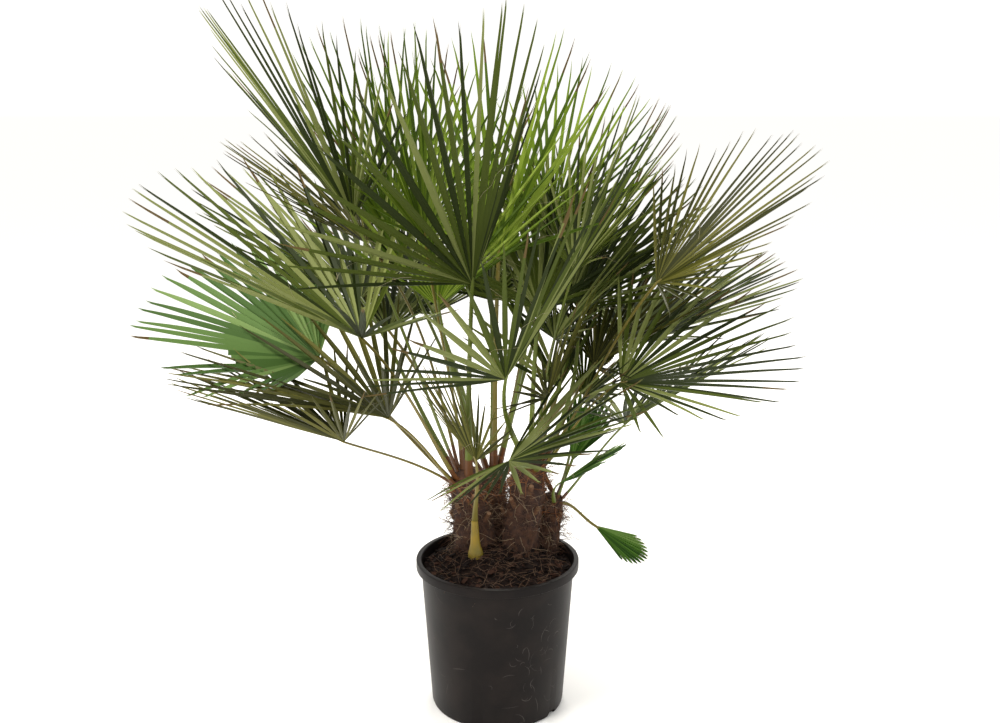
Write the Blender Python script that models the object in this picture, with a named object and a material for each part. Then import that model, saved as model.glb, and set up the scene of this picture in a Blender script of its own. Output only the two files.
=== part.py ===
"""A potted European fan palm: a clump of fibrous stems with stiff fan leaves in a black nursery pot.

Run with blender --background --python part.py. Lengths are in metres, angles in degrees, +Z is up, the front
faces -Y, and the origin is the centre of the pot's flat underside. Each frond is one closed solid: a stalk
that runs into a thin blade, and the blade is cut between its leaflets.
"""

import math
import random
from dataclasses import dataclass

import bmesh
import bpy
from mathutils import Vector
from mathutils.bvhtree import BVHTree
from mathutils.geometry import interpolate_bezier

UP = Vector((0.0, 0.0, 1.0))
CLEARANCE = 0.0003

# Pot
POT_HEIGHT = 0.340
POT_RIM_RADIUS = 0.180
POT_NECK_RADIUS = 0.169
POT_FOOT_RADIUS = 0.148
POT_LIP_DROP = 0.019
POT_WALL = 0.0025
POT_FLOOR = 0.0035
POT_FOOT_CHAMFER = 0.008
POT_SIDES = 40
HOLE_COUNT = 5
HOLE_WIDTH = 0.024
HOLE_HEIGHT = 0.011
FIRST_HOLE_ANGLE = -107.5

# Soil
SOIL_EDGE_HEIGHT = 0.318
SOIL_MOUND_HEIGHT = 0.348
SOIL_RINGS = 5
SOIL_LUMP = 0.004
STEM_SUNK = 0.014

# Stems
STEM_SIDES = 12
STEM_RINGS = 6
BARK_ROUGHNESS = 0.05
STUB_LENGTH = 0.042
STUB_WIDTH = 0.016
STUB_THICKNESS = 0.010

# Frond proportions
STALK_SIDES = 4
STALK_STATIONS = (0.0, 0.09, 0.3, 0.55, 0.8, 1.0)
STALK_BASE_WIDTH = 0.018
STALK_WIDTH = 0.013
STALK_THICKNESS = 0.009
STALK_RISE = 0.6
STALK_LEAVE = 0.3
STALK_ARRIVE = 0.33
ROUTE_STEPS = 40
HUB_THICKNESS = 0.011
BLADE_EDGE = 0.002
KEEL_SHARE = 0.0115
LEAFLET_WIDTH_SHARE = 0.036
USUAL_LEAFLETS = 22
LEAST_SECTORS = 4
LEAFLET_KNEE = 0.5
SIDE_SHORTENING = 0.30
LEAFLET_SAG = 0.02
LEAST_CLEAR = 0.0006

# How a leaflet gives way to what is already there: sideways turn, lift and share of its length, in this order
LEAFLET_TRIES = (
    (0.0, 0.0, 1.0),
    (0.28, 0.0, 1.0),
    (-0.28, 0.0, 1.0),
    (0.0, 5.0, 1.0),
    (0.0, -5.0, 1.0),
    (0.28, 5.0, 1.0),
    (-0.28, 5.0, 1.0),
    (0.28, -5.0, 1.0),
    (-0.28, -5.0, 1.0),
    (0.0, 0.0, 0.8),
    (0.0, 5.0, 0.8),
    (0.0, -5.0, 0.8),
    (0.0, 0.0, 0.6),
    (0.0, 0.0, 0.4),
)
# How a stalk bows sideways round its neighbours, as a share of its length, and turns at its foot
STALK_TRIES = (
    (0.0, 0),
    (0.06, 8),
    (-0.06, -8),
    (0.12, 16),
    (-0.12, -16),
    (0.18, 24),
    (-0.18, -24),
    (0.25, 34),
    (-0.25, -34),
)


@dataclass(frozen=True)
class Stem:
    """A fibrous stem that leans from its foot in the soil to its growing crown."""

    name: str
    foot: tuple
    crown: tuple
    foot_radius: float
    crown_radius: float
    stubs: int


@dataclass(frozen=True)
class Frond:
    """A fan leaf: where its stalk leads from the stem's crown, and how its blade stands there."""

    name: str
    stem: str
    azimuth: float
    rise: float
    length: float
    blade_azimuth: float
    blade_rise: float
    radius: float
    spread: float = 190.0
    roll: float = 0.0
    cup: float = 20.0
    leaflets: int = 22
    split: float = 0.29
    tone: str = "leaf"


STEMS = (
    Stem("stem_left", (-0.050, 0.060), (-0.065, 0.055, 0.500), 0.050, 0.040, 9),
    Stem("stem_right", (0.050, 0.055), (0.070, 0.060, 0.530), 0.042, 0.038, 9),
    Stem("stem_back", (-0.004, 0.132), (-0.010, 0.130, 0.480), 0.026, 0.028, 5),
    Stem("stem_side", (0.115, 0.078), (0.125, 0.090, 0.440), 0.022, 0.023, 4),
    Stem("shoot_front", (-0.048, -0.012), (-0.050, -0.010, 0.425), 0.015, 0.011, 0),
)

@dataclass(frozen=True)
class BackRow:
    """Fronds of one stem that fill a part of the crown that the front ones leave open."""

    stem: str
    count: int
    first: float
    last: float
    lift: float
    length: float
    radius: float


BACK_RISES = (38, 62, 50, 72)
BACK_ROWS = (
    BackRow("stem_back", 7, 20, 165, 0, 0.40, 0.44),
    BackRow("stem_right", 4, 15, 80, 6, 0.32, 0.38),
    BackRow("stem_left", 4, 105, 165, 0, 0.40, 0.44),
    BackRow("stem_side", 4, -25, 70, 12, 0.24, 0.34),
)

SHOWN_FRONDS = (
    Frond("frond_left_high", "stem_left", -167, 68, 0.64, -157, 60, 0.54, 130, -10, 25),
    Frond("frond_left", "stem_left", -135, 52, 0.47, -162, 35, 0.54, 190, 15, 40),
    Frond("frond_left_low", "stem_left", -140, 41, 0.28, -171, 17, 0.48, 190, 0, 45, tone="dull"),
    Frond("frond_left_lowest", "stem_left", -148, 25, 0.33, -165, 25, 0.38, 180, 0, 45, tone="dull"),
    Frond("frond_left_pale", "stem_left", 169, 38, 0.43, 178, 20, 0.42, 170, 25, 25, 22, 0.5, "pale"),
    Frond("frond_left_dark", "stem_left", 168, 67, 0.57, 178, 38, 0.38, 150, 10, 30, tone="dull"),
    Frond("frond_left_up", "stem_left", -142, 79, 0.56, 150, 84, 0.46, 150, 0, 20, tone="bright"),
    Frond("frond_front_high", "stem_left", -86, 64, 0.54, -30, 84, 0.56, 180, 0, 35),
    Frond("frond_front", "stem_right", -99, 40, 0.45, -42, 62, 0.46, 190, -12, 22),
    Frond("frond_front_low", "stem_right", -101, 21, 0.26, -35, 28, 0.35, 200, -20, 20),
    Frond("frond_shoot", "shoot_front", -84, 75, 0.16, -141, 66, 0.26, 120, 0, 20, 14, tone="dull"),
    Frond("frond_right_high", "stem_right", -25, 57, 0.52, -22, 42, 0.43, 150, -28, 22, tone="dull"),
    Frond("frond_right_low", "stem_right", -41, 44, 0.34, -18, 14, 0.39, 200, -20, 28),
    Frond("frond_right_upper", "stem_right", -6, 78, 0.45, 0, 64, 0.42, 150, -20, 30),
    Frond("frond_right_middle", "stem_right", 8, 58, 0.27, 0, 44, 0.36, 180, -20, 20, tone="dull"),
    Frond("frond_right_inner", "stem_right", 53, 71, 0.29, 12, 68, 0.36, 170, -10, 20),
    Frond("frond_right_short", "stem_right", -66, 64, 0.20, -30, 66, 0.33, 180, -15, 20, tone="dull"),
    Frond("frond_back_lit", "stem_back", -146, 71, 0.44, -90, 88, 0.56, 110, 0, 10, tone="bright"),
    Frond("frond_back_inner", "stem_back", -165, 62, 0.33, 175, 62, 0.32, 170, 10, 20),
    Frond("frond_top_left", "stem_back", 175, 68, 0.60, 145, 79, 0.50, 140, 0, 20, tone="bright"),
    Frond("frond_top", "stem_back", 62, 87, 0.51, 49, 83, 0.54, 150, 0, 20, tone="bright"),
    Frond("frond_top_right", "stem_back", 31, 75, 0.57, 37, 72, 0.42, 150, -10, 20, tone="bright"),
    Frond("young_leaf_1", "stem_side", -86, 38, 0.11, -19, 36, 0.19, 75, 0, 0, 7, 0.6, "young"),
    Frond("young_leaf_2", "stem_side", -45, 62, 0.12, 11, 70, 0.18, 60, -50, 0, 6, 0.7, "young"),
    Frond("folded_leaf", "stem_side", -40, -15, 0.12, -23, -26, 0.14, 40, -50, 0, 6, 0.85, "young"),
)

MATERIALS = {
    "pot": ((0.022, 0.020, 0.020), 0.45),
    "soil": ((0.024, 0.014, 0.010), 0.95),
    "stem": ((0.075, 0.038, 0.026), 0.90),
    "leaf": ((0.090, 0.130, 0.030), 0.45),
    "bright": ((0.170, 0.260, 0.040), 0.45),
    "pale": ((0.140, 0.260, 0.110), 0.50),
    "dull": ((0.090, 0.085, 0.028), 0.50),
    "young": ((0.060, 0.190, 0.030), 0.40),
}


def clear_scene():
    for item in list(bpy.data.objects):
        bpy.data.objects.remove(item)


def make_materials():
    made = {}
    for name, (colour, roughness) in MATERIALS.items():
        material = bpy.data.materials.new(name)
        material.use_nodes = True
        shader = material.node_tree.nodes["Principled BSDF"]
        shader.inputs["Base Color"].default_value = (*colour, 1.0)
        shader.inputs["Roughness"].default_value = roughness
        shader.inputs["Metallic"].default_value = 0.0
        made[name] = material
    return made


def make_object(name, points, faces, material):
    """A closed mesh object whose faces point outwards."""
    mesh = bpy.data.meshes.new(name)
    mesh.from_pydata(points, [], faces)
    shell = bmesh.new()
    shell.from_mesh(mesh)
    bmesh.ops.recalc_face_normals(shell, faces=shell.faces)
    shell.to_mesh(mesh)
    shell.free()
    mesh.materials.append(material)
    item = bpy.data.objects.new(name, mesh)
    bpy.context.scene.collection.objects.link(item)
    return item


def direction(azimuth, rise):
    azimuth, rise = math.radians(azimuth), math.radians(rise)
    level = math.cos(rise)
    return Vector((level * math.cos(azimuth), level * math.sin(azimuth), math.sin(rise)))


# Pot and soil


def pot_radius(height):
    """Outer radius of the tapered wall."""
    share = (height - POT_FOOT_CHAMFER) / (POT_HEIGHT - POT_LIP_DROP - POT_FOOT_CHAMFER)
    return POT_FOOT_RADIUS + (POT_NECK_RADIUS - POT_FOOT_RADIUS) * share


def pot_profile():
    """Half section from the middle of the underside, up the outside, over the lip and down the inside."""
    skirt = POT_RIM_RADIUS - POT_WALL
    lip_foot = POT_HEIGHT - POT_LIP_DROP
    under_lip = POT_HEIGHT - 1.8 * POT_WALL
    neck = pot_radius(under_lip)
    inner_foot = pot_radius(POT_FOOT_CHAMFER + POT_FLOOR) - POT_WALL
    return (
        (0.0, 0.0),
        (POT_FOOT_RADIUS - POT_FOOT_CHAMFER, 0.0),
        (POT_FOOT_RADIUS, POT_FOOT_CHAMFER),
        (neck, under_lip),
        (skirt, under_lip),
        (skirt, lip_foot),
        (POT_RIM_RADIUS, lip_foot),
        (POT_RIM_RADIUS, POT_HEIGHT - 0.5 * POT_WALL),
        (POT_RIM_RADIUS - 0.6 * POT_WALL, POT_HEIGHT),
        (neck, POT_HEIGHT),
        (neck - POT_WALL, under_lip),
        (inner_foot, POT_FOOT_CHAMFER + POT_FLOOR),
        (POT_FOOT_RADIUS - POT_FOOT_CHAMFER - POT_WALL, POT_FLOOR),
        (0.0, POT_FLOOR),
    )


def build_pot(material):
    profile = bmesh.new()
    corners = [profile.verts.new((radius, 0.0, height)) for radius, height in pot_profile()]
    edges = [profile.edges.new(pair) for pair in zip(corners, corners[1:])]
    bmesh.ops.spin(profile, geom=corners + edges, axis=UP, cent=(0, 0, 0), steps=POT_SIDES, angle=math.tau)
    bmesh.ops.remove_doubles(profile, verts=profile.verts, dist=CLEARANCE)
    bmesh.ops.recalc_face_normals(profile, faces=profile.faces)
    mesh = bpy.data.meshes.new("pot")
    profile.to_mesh(mesh)
    profile.free()
    mesh.materials.append(material)
    pot = bpy.data.objects.new("pot", mesh)
    bpy.context.scene.collection.objects.link(pot)
    for index in range(HOLE_COUNT):
        cut_drain_hole(pot, index)


def cut_drain_hole(pot, index):
    """A slot through the corner between the wall and the floor."""
    turn = math.radians(FIRST_HOLE_ANGLE + index * 360.0 / HOLE_COUNT)
    bpy.ops.mesh.primitive_cube_add(size=1.0)
    cutter = bpy.context.active_object
    cutter.name = f"hole_cutter_{index + 1}"
    cutter.scale = (3 * POT_FOOT_CHAMFER, HOLE_WIDTH, 2 * HOLE_HEIGHT)
    cutter.location = (POT_FOOT_RADIUS * math.cos(turn), POT_FOOT_RADIUS * math.sin(turn), 0.0)
    cutter.rotation_euler = (0.0, 0.0, turn)
    cutter.hide_render = True
    cutter.display_type = "WIRE"
    cut = pot.modifiers.new(f"hole_{index + 1}", "BOOLEAN")
    cut.operation = "DIFFERENCE"
    cut.object = cutter


def soil_height(x, y):
    """A low mound with lumps, which falls to an even edge at the pot's wall."""
    outward = min(1.0, math.hypot(x, y - 0.03) / 0.15)
    mound = 0.5 + 0.5 * math.cos(math.pi * outward**1.6)
    lumps = math.sin(61 * x + 1.3) * math.sin(53 * y + 0.4) + 0.6 * math.sin(117 * x - 71 * y)
    rise = (SOIL_MOUND_HEIGHT - SOIL_EDGE_HEIGHT) * mound
    return SOIL_EDGE_HEIGHT + rise + SOIL_LUMP * lumps * (1 - outward**4)


def build_soil(material):
    foot_height = POT_FOOT_CHAMFER + POT_FLOOR + CLEARANCE
    foot_radius = pot_radius(foot_height) - POT_WALL - 2 * CLEARANCE
    edge_radius = pot_radius(SOIL_EDGE_HEIGHT) - POT_WALL - 2 * CLEARANCE
    turns = [math.tau * index / POT_SIDES for index in range(POT_SIDES)]
    points = [(foot_radius * math.cos(turn), foot_radius * math.sin(turn), foot_height) for turn in turns]
    for ring in range(SOIL_RINGS):
        radius = edge_radius * (1 - ring / SOIL_RINGS)
        for turn in turns:
            x, y = radius * math.cos(turn), radius * math.sin(turn)
            points.append((x, y, SOIL_EDGE_HEIGHT if ring == 0 else soil_height(x, y)))
    points.append((0.0, 0.0, soil_height(0.0, 0.0)))
    faces = [tuple(range(POT_SIDES))]
    for ring in range(SOIL_RINGS):
        for index in range(POT_SIDES):
            after = (index + 1) % POT_SIDES
            low, high = ring * POT_SIDES, (ring + 1) * POT_SIDES
            faces.append((low + index, low + after, high + after, high + index))
    last = SOIL_RINGS * POT_SIDES
    faces += [(last + index, last + (index + 1) % POT_SIDES, len(points) - 1) for index in range(POT_SIDES)]
    soil = make_object("soil", points, faces, material)
    for stem in STEMS:
        cut_stem_socket(soil, stem)


def cut_stem_socket(soil, stem):
    bottom = foot_height(stem) - CLEARANCE
    bpy.ops.mesh.primitive_cylinder_add(
        vertices=STEM_SIDES,
        radius=(stem.foot_radius * (1 + 0.5 * BARK_ROUGHNESS) + CLEARANCE) / math.cos(math.pi / STEM_SIDES),
        depth=0.1,
        location=(*stem.foot, bottom + 0.05),
    )
    cutter = bpy.context.active_object
    cutter.name = f"socket_cutter_{stem.name}"
    cutter.hide_render = True
    cutter.display_type = "WIRE"
    cut = soil.modifiers.new(f"socket_{stem.name}", "BOOLEAN")
    cut.operation = "DIFFERENCE"
    cut.object = cutter


# Stems


def foot_height(stem):
    return soil_height(*stem.foot) - STEM_SUNK


def stem_rings(stem):
    """Rings of points from the flat foot up to the domed crown, with the root flare just above the soil."""
    chance = random.Random(stem.name)
    bottom = foot_height(stem)
    top = stem.crown[2]
    rings = []
    for index in range(STEM_RINGS + 1):
        share = index / STEM_RINGS
        height = bottom + (top - bottom) * share
        ease = share * share * (3 - 2 * share)
        centre = Vector((0, 0, height))
        for axis in (0, 1):
            centre[axis] = stem.foot[axis] + (stem.crown[axis] - stem.foot[axis]) * ease
        radius = stem.crown_radius + (stem.foot_radius - stem.crown_radius) * (1 - share) ** 2
        wobble = BARK_ROUGHNESS if 0 < index < STEM_RINGS else 0.0
        rings.append((centre, radius, wobble))
    for rise in (35, 65):
        angle = math.radians(rise)
        centre = Vector((*stem.crown[:2], top + 0.8 * stem.crown_radius * math.sin(angle)))
        rings.append((centre, stem.crown_radius * math.cos(angle), 0.0))
    made = []
    for centre, radius, wobble in rings:
        ring = []
        for side in range(STEM_SIDES):
            turn = math.tau * (side + 0.5) / STEM_SIDES
            reach = radius * (1 + wobble * chance.uniform(-1, 1))
            ring.append(centre + Vector((reach * math.cos(turn), reach * math.sin(turn), 0)))
        made.append(ring)
    return made


def stub_shape(stem, index):
    """The cut foot of an old leaf: a flat wedge that leans out of the stem and up."""
    share = 0.25 + 0.5 * (index + 0.5) / stem.stubs
    bottom = foot_height(stem)
    height = bottom + (stem.crown[2] - bottom) * share
    azimuth = 137.5 * index + 40
    out = direction(azimuth, 0)
    ease = share * share * (3 - 2 * share)
    centre = Vector(
        (
            stem.foot[0] + (stem.crown[0] - stem.foot[0]) * ease,
            stem.foot[1] + (stem.crown[1] - stem.foot[1]) * ease,
            height,
        )
    )
    radius = stem.crown_radius + (stem.foot_radius - stem.crown_radius) * (1 - share) ** 2
    aim = direction(azimuth, 58)
    across = UP.cross(out)
    thick = aim.cross(across)
    root = centre + out * (radius - 0.35 * STUB_LENGTH)
    points = []
    for along, widen in ((0.0, 1.25), (STUB_LENGTH, 0.75)):
        for wide, deep in ((-1, -1), (1, -1), (1, 1), (-1, 1)):
            half_width = 0.5 * STUB_WIDTH * widen * stem.crown_radius / STEMS[0].crown_radius
            corner = across * (wide * half_width) + thick * (deep * 0.5 * STUB_THICKNESS)
            points.append(root + aim * along + corner)
    faces = [(0, 1, 2, 3), (4, 5, 6, 7), (0, 1, 5, 4), (1, 2, 6, 5), (2, 3, 7, 6), (3, 0, 4, 7)]
    return points, faces


def build_stem(stem, material):
    rings = stem_rings(stem)
    points = [point for ring in rings for point in ring]
    faces = [tuple(range(STEM_SIDES)), tuple(range(len(points) - STEM_SIDES, len(points)))]
    for low in range(len(rings) - 1):
        for side in range(STEM_SIDES):
            after = (side + 1) % STEM_SIDES
            start, end = low * STEM_SIDES, (low + 1) * STEM_SIDES
            faces.append((start + side, start + after, end + after, end + side))
    body = make_object(stem.name, points, faces, material)
    if stem.stubs:
        add_stubs(body, stem, material)
    return body


def add_stubs(body, stem, material):
    """Joins the stubs to the stem in one Boolean union."""
    stubs = bpy.data.collections.new(f"{stem.name}_stubs")
    bpy.context.scene.collection.children.link(stubs)
    for index in range(stem.stubs):
        stub = make_object(f"{stem.name}_stub_{index}", *stub_shape(stem, index), material)
        bpy.context.scene.collection.objects.unlink(stub)
        stubs.objects.link(stub)
    join = body.modifiers.new("stubs", "BOOLEAN")
    join.operation = "UNION"
    join.operand_type = "COLLECTION"
    join.collection = stubs
    bpy.context.view_layer.objects.active = body
    bpy.ops.object.modifier_apply(modifier=join.name)
    for stub in list(stubs.objects):
        bpy.data.objects.remove(stub)
    bpy.data.collections.remove(stubs)


# Fronds


def back_fronds():
    """The rest of the crown, which fills the back and the sides by a turning rule."""
    chance = random.Random(11)
    made = []
    for row in BACK_ROWS:
        for index in range(row.count):
            azimuth = row.first + (row.last - row.first) * (index + 0.5) / row.count
            rise = BACK_RISES[index % len(BACK_RISES)] + row.lift
            made.append(
                Frond(
                    f"frond_{row.stem.split('_')[1]}_{index + 1}",
                    row.stem,
                    azimuth,
                    rise,
                    row.length + 0.1 * chance.random(),
                    azimuth + chance.uniform(-15, 15),
                    rise - 12,
                    row.radius + 0.05 * chance.random(),
                    180,
                    chance.uniform(-20, 20),
                    20,
                    20,
                )
            )
    return made


class Blade:
    """A frond's blade as directions and sizes round its hub."""

    def __init__(self, frond, crown):
        self.frond = frond
        self.hub = crown + direction(frond.azimuth, frond.rise) * frond.length
        self.axis = direction(frond.blade_azimuth, frond.blade_rise)
        level = direction(frond.blade_azimuth + 90, 0)
        upper = self.axis.cross(level)
        roll = math.radians(frond.roll)
        self.upper = upper * math.cos(roll) + level * math.sin(roll)
        self.side = level * math.cos(roll) - upper * math.sin(roll)
        self.step = frond.spread / frond.leaflets

    def angle(self, position):
        """Angle from the middle of the blade, where whole positions are the splits between leaflets."""
        return self.step * position - 0.5 * self.frond.spread

    def ray(self, angle):
        turn = math.radians(angle)
        lift = math.radians(self.frond.cup) * (1 - math.cos(turn))
        flat = self.axis * math.cos(turn) + self.side * math.sin(turn)
        return flat * math.cos(lift) + self.upper * math.sin(lift)

    def frame(self, angle):
        """Direction outwards, across and out of the upper face."""
        out = self.ray(angle)
        across = (self.ray(angle + 1) - self.ray(angle - 1)).normalized()
        return out, across, out.cross(across)

    def reach(self, angle):
        """Length of the leaflet at this angle: the outer ones are shorter."""
        share = abs(angle) / (0.5 * self.frond.spread)
        return self.frond.radius * (1 - SIDE_SHORTENING * share * share)

    def split(self, angle):
        return self.reach(angle) * self.frond.split

    def keel(self):
        return KEEL_SHARE * self.frond.radius

    def split_point(self, position, lift):
        angle = self.angle(position)
        out, _, upper = self.frame(angle)
        return self.hub + out * self.split(angle) + upper * lift

    def sector(self, index, grow=0.0):
        """The undivided blade under a leaflet: hub top and bottom, upper and lower split points, keel."""
        half = 0.5 * BLADE_EDGE + grow
        angle = self.angle(index + 0.5)
        out, _, upper = self.frame(angle)
        hub_half = 0.5 * HUB_THICKNESS + grow
        return [
            self.hub + self.upper * hub_half,
            self.hub - self.upper * hub_half,
            self.split_point(index, half),
            self.split_point(index + 1, half),
            self.split_point(index, -half),
            self.split_point(index + 1, -half),
            self.hub + out * self.split(angle) - upper * (self.keel() + grow),
        ]

    def leaflet(self, index, turn, lift, share, grow=0.0):
        """Points of the free leaflet: left, right and keel at its knee, and its tip."""
        angle = self.angle(index + 0.5)
        out, across, upper = self.frame(angle)
        start = self.hub + out * self.split(angle)
        swing = math.radians(turn * self.step)
        tilt = math.radians(lift)
        aim = out * math.cos(swing) + across * math.sin(swing)
        aim = aim * math.cos(tilt) + upper * math.sin(tilt)
        across = upper.cross(aim).normalized()
        upper = aim.cross(across)
        length = (self.reach(angle) - self.split(angle)) * share
        widen = (USUAL_LEAFLETS / self.frond.leaflets) ** 0.5
        half = 0.5 * LEAFLET_WIDTH_SHARE * self.frond.radius * widen + grow
        knee = start + aim * (length * LEAFLET_KNEE) - UP * (0.3 * LEAFLET_SAG * length)
        tip = start + aim * (length + grow) - UP * (LEAFLET_SAG * length)
        return [knee - across * half, knee + across * half, knee - upper * (self.keel() + grow), tip]


SECTOR_FACES = ((0, 2, 3), (1, 4, 6), (1, 6, 5), (2, 3, 5, 6, 4), (0, 2, 4, 1), (0, 3, 5, 1))
LEAFLET_FACES = (
    (2, 3, 8, 7),
    (4, 6, 9, 7),
    (6, 5, 8, 9),
    (2, 4, 7),
    (3, 5, 8),
    (7, 8, 10),
    (7, 9, 10),
    (9, 8, 10),
    (2, 3, 5, 6, 4),
)


def tree(points, faces):
    return BVHTree.FromPolygons(points, faces)


class Occupied:
    """What already stands in the crown, by its owner, so that a frond ignores itself."""

    def __init__(self):
        self.shapes = []

    def add(self, owner, points, faces):
        self.shapes.append((owner, points, faces))

    def others(self, owner, left_out=()):
        points, faces = [], []
        for name, some_points, some_faces in self.shapes:
            if name != owner and name not in left_out:
                start = len(points)
                points += some_points
                faces += [tuple(start + corner for corner in face) for face in some_faces]
        return tree(points, faces)


def stalk_foot(frond, body, turn):
    """Where the stalk meets the stem, and the stem's outward direction there."""
    crown, surface, radius = body
    slope = max(0.0, min(75.0, 1.6 * (frond.rise - 40)))
    aim = direction(frond.azimuth + turn, slope)
    found, normal, _, _ = surface.ray_cast(crown + aim * (3 * radius), -aim)
    return found + normal * CLEARANCE, normal


def stalk_route(blade, foot, normal, bow):
    """A curve that leaves the stem outwards and arrives along the blade."""
    chord = blade.hub - foot
    length = chord.length
    aim = chord.normalized()
    sideways = UP.cross(chord).normalized() * (bow * length)
    leave = (normal + aim + UP * STALK_RISE).normalized()
    arrive = (aim + blade.axis).normalized()
    first = foot + leave * (STALK_LEAVE * length) + sideways
    second = blade.hub - arrive * (STALK_ARRIVE * length) + sideways
    return interpolate_bezier(foot, first, second, blade.hub, ROUTE_STEPS + 1)


def stalk_rings(blade, body, bow, turn, grow=0.0):
    """Rings of the stalk, from its flat foot on the stem to the blade's hub."""
    scale = frond_scale(blade.frond)
    foot, normal = stalk_foot(blade.frond, body, turn)
    route = stalk_route(blade, foot, normal, bow)
    level = UP.cross(blade.hub - foot).normalized()
    rings = []
    for share in STALK_STATIONS:
        place = round(share * ROUTE_STEPS)
        along = (route[min(ROUTE_STEPS, place + 1)] - route[max(0, place - 1)]).normalized()
        width, depth = STALK_WIDTH * scale, STALK_THICKNESS * scale
        if share == 0.0:
            along = normal
            width = STALK_BASE_WIDTH * scale
        if share == 1.0:
            upper, across = blade.upper, blade.side
            depth = HUB_THICKNESS
        else:
            across = level.lerp(blade.side, share)
            across = (across - along * across.dot(along)).normalized()
            upper = along.cross(across)
        wide, deep = across * (0.5 * width + grow), upper * (0.5 * depth + grow)
        centre = route[place]
        rings.append([centre + deep, centre + wide, centre - deep, centre - wide])
    return rings


def frond_scale(frond):
    """Stalks of short leaves are slimmer."""
    return min(1.0, 0.45 + frond.radius)


def tube_faces(count):
    faces = [(0, 1, 2, 3), tuple(STALK_SIDES * (count - 1) + side for side in range(STALK_SIDES))]
    for ring in range(count - 1):
        for side in range(STALK_SIDES):
            after = (side + 1) % STALK_SIDES
            low, high = ring * STALK_SIDES, (ring + 1) * STALK_SIDES
            faces.append((low + side, low + after, high + after, high + side))
    return faces


def lay_stalks(blades, bodies, occupied):
    """Gives each frond the first stalk route that touches nothing, and drops a frond that has none."""
    routes = {}
    for blade in blades:
        frond = blade.frond
        around = occupied.others(frond.name)
        stalks = occupied.others(frond.name, bodies)
        faces = tube_faces(len(STALK_STATIONS))
        free_faces = tube_faces(len(STALK_STATIONS) - 1)
        for bow, turn in STALK_TRIES:
            grown = stalk_rings(blade, bodies[frond.stem], bow, turn, LEAST_CLEAR)
            points = [point for ring in grown for point in ring]
            past_foot = tree(points[STALK_SIDES:], free_faces)
            if not around.overlap(past_foot) and not stalks.overlap(tree(points, faces)):
                rings = stalk_rings(blade, bodies[frond.stem], bow, turn)
                routes[frond.name] = rings
                occupied.add(frond.name, [point for ring in rings for point in ring], faces)
                break
    return routes


def lay_sectors(blades, occupied):
    """The run of undivided blade that is clear, from the middle outwards on both sides."""
    kept = {}
    for blade in blades:
        around = occupied.others(blade.frond.name)
        middle = blade.frond.leaflets // 2
        clear = [
            not around.overlap(tree(blade.sector(index, LEAST_CLEAR), SECTOR_FACES))
            for index in range(blade.frond.leaflets)
        ]
        first, last = middle, middle - 1
        while first > 0 and clear[first - 1]:
            first -= 1
        while last + 1 < blade.frond.leaflets and clear[last + 1]:
            last += 1
        if last + 1 - first < min(LEAST_SECTORS, blade.frond.leaflets):
            continue
        kept[blade.frond.name] = range(first, last + 1)
        for index in kept[blade.frond.name]:
            occupied.add(blade.frond.name, blade.sector(index), SECTOR_FACES)
    return kept


def lay_leaflets(blades, kept, occupied):
    """The first way that each leaflet clears everything else, or none."""
    chosen = {}
    for blade in blades:
        name = blade.frond.name
        if name not in kept:
            continue
        around = occupied.others(name)
        ways = {}
        for index in kept[name]:
            root = blade.sector(index, LEAST_CLEAR)
            for way in LEAFLET_TRIES:
                free = blade.leaflet(index, *way, grow=LEAST_CLEAR)
                if not around.overlap(tree(root + free, LEAFLET_FACES)):
                    ways[index] = way
                    occupied.add(name, blade.sector(index) + blade.leaflet(index, *way), LEAFLET_FACES)
                    break
        chosen[name] = ways
    return chosen


def frond_mesh(blade, rings, sectors, ways):
    """Points and faces of the whole frond as one closed shell."""
    points = [point for ring in rings for point in ring]
    faces = tube_faces(len(rings))
    faces.pop(1)
    top, right, bottom, left = range(len(points) - STALK_SIDES, len(points))
    upper, lower, keel = {}, {}, {}
    half = 0.5 * BLADE_EDGE
    for position in range(sectors[0], sectors[-1] + 2):
        upper[position] = len(points)
        lower[position] = len(points) + 1
        points += [blade.split_point(position, half), blade.split_point(position, -half)]
    for index in sectors:
        keel[index] = len(points)
        points.append(blade.sector(index)[-1])
        begin, end = index, index + 1
        faces += [
            (top, upper[begin], upper[end]),
            (bottom, lower[begin], keel[index]),
            (bottom, keel[index], lower[end]),
        ]
        if index not in ways:
            faces.append((upper[begin], upper[end], lower[end], keel[index], lower[begin]))
            continue
        one, two, three, tip = range(len(points), len(points) + 4)
        points += blade.leaflet(index, *ways[index])
        faces += [
            (upper[begin], upper[end], two, one),
            (lower[begin], keel[index], three, one),
            (keel[index], lower[end], two, three),
            (upper[begin], lower[begin], one),
            (upper[end], lower[end], two),
            (one, two, tip),
            (one, three, tip),
            (three, two, tip),
        ]
    for position, corner in ((sectors[0], left), (sectors[-1] + 1, right)):
        faces += [
            (top, upper[position], corner),
            (upper[position], lower[position], corner),
            (bottom, lower[position], corner),
        ]
    return points, faces


def build_fronds(bodies, materials):
    crowns = {stem.name: Vector(stem.crown) for stem in STEMS}
    blades = [Blade(frond, crowns[frond.stem]) for frond in (*SHOWN_FRONDS, *back_fronds())]
    occupied = Occupied()
    for name, (_, _, _, points, faces) in bodies.items():
        occupied.add(name, points, faces)
    trunks = {name: body[:3] for name, body in bodies.items()}
    routes = lay_stalks(blades, trunks, occupied)
    blades = [blade for blade in blades if blade.frond.name in routes]
    kept = lay_sectors(blades, occupied)
    chosen = lay_leaflets(blades, kept, occupied)
    for blade in blades:
        name = blade.frond.name
        if name in kept:
            points, faces = frond_mesh(blade, routes[name], kept[name], chosen[name])
            make_object(name, points, faces, materials[blade.frond.tone])


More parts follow.
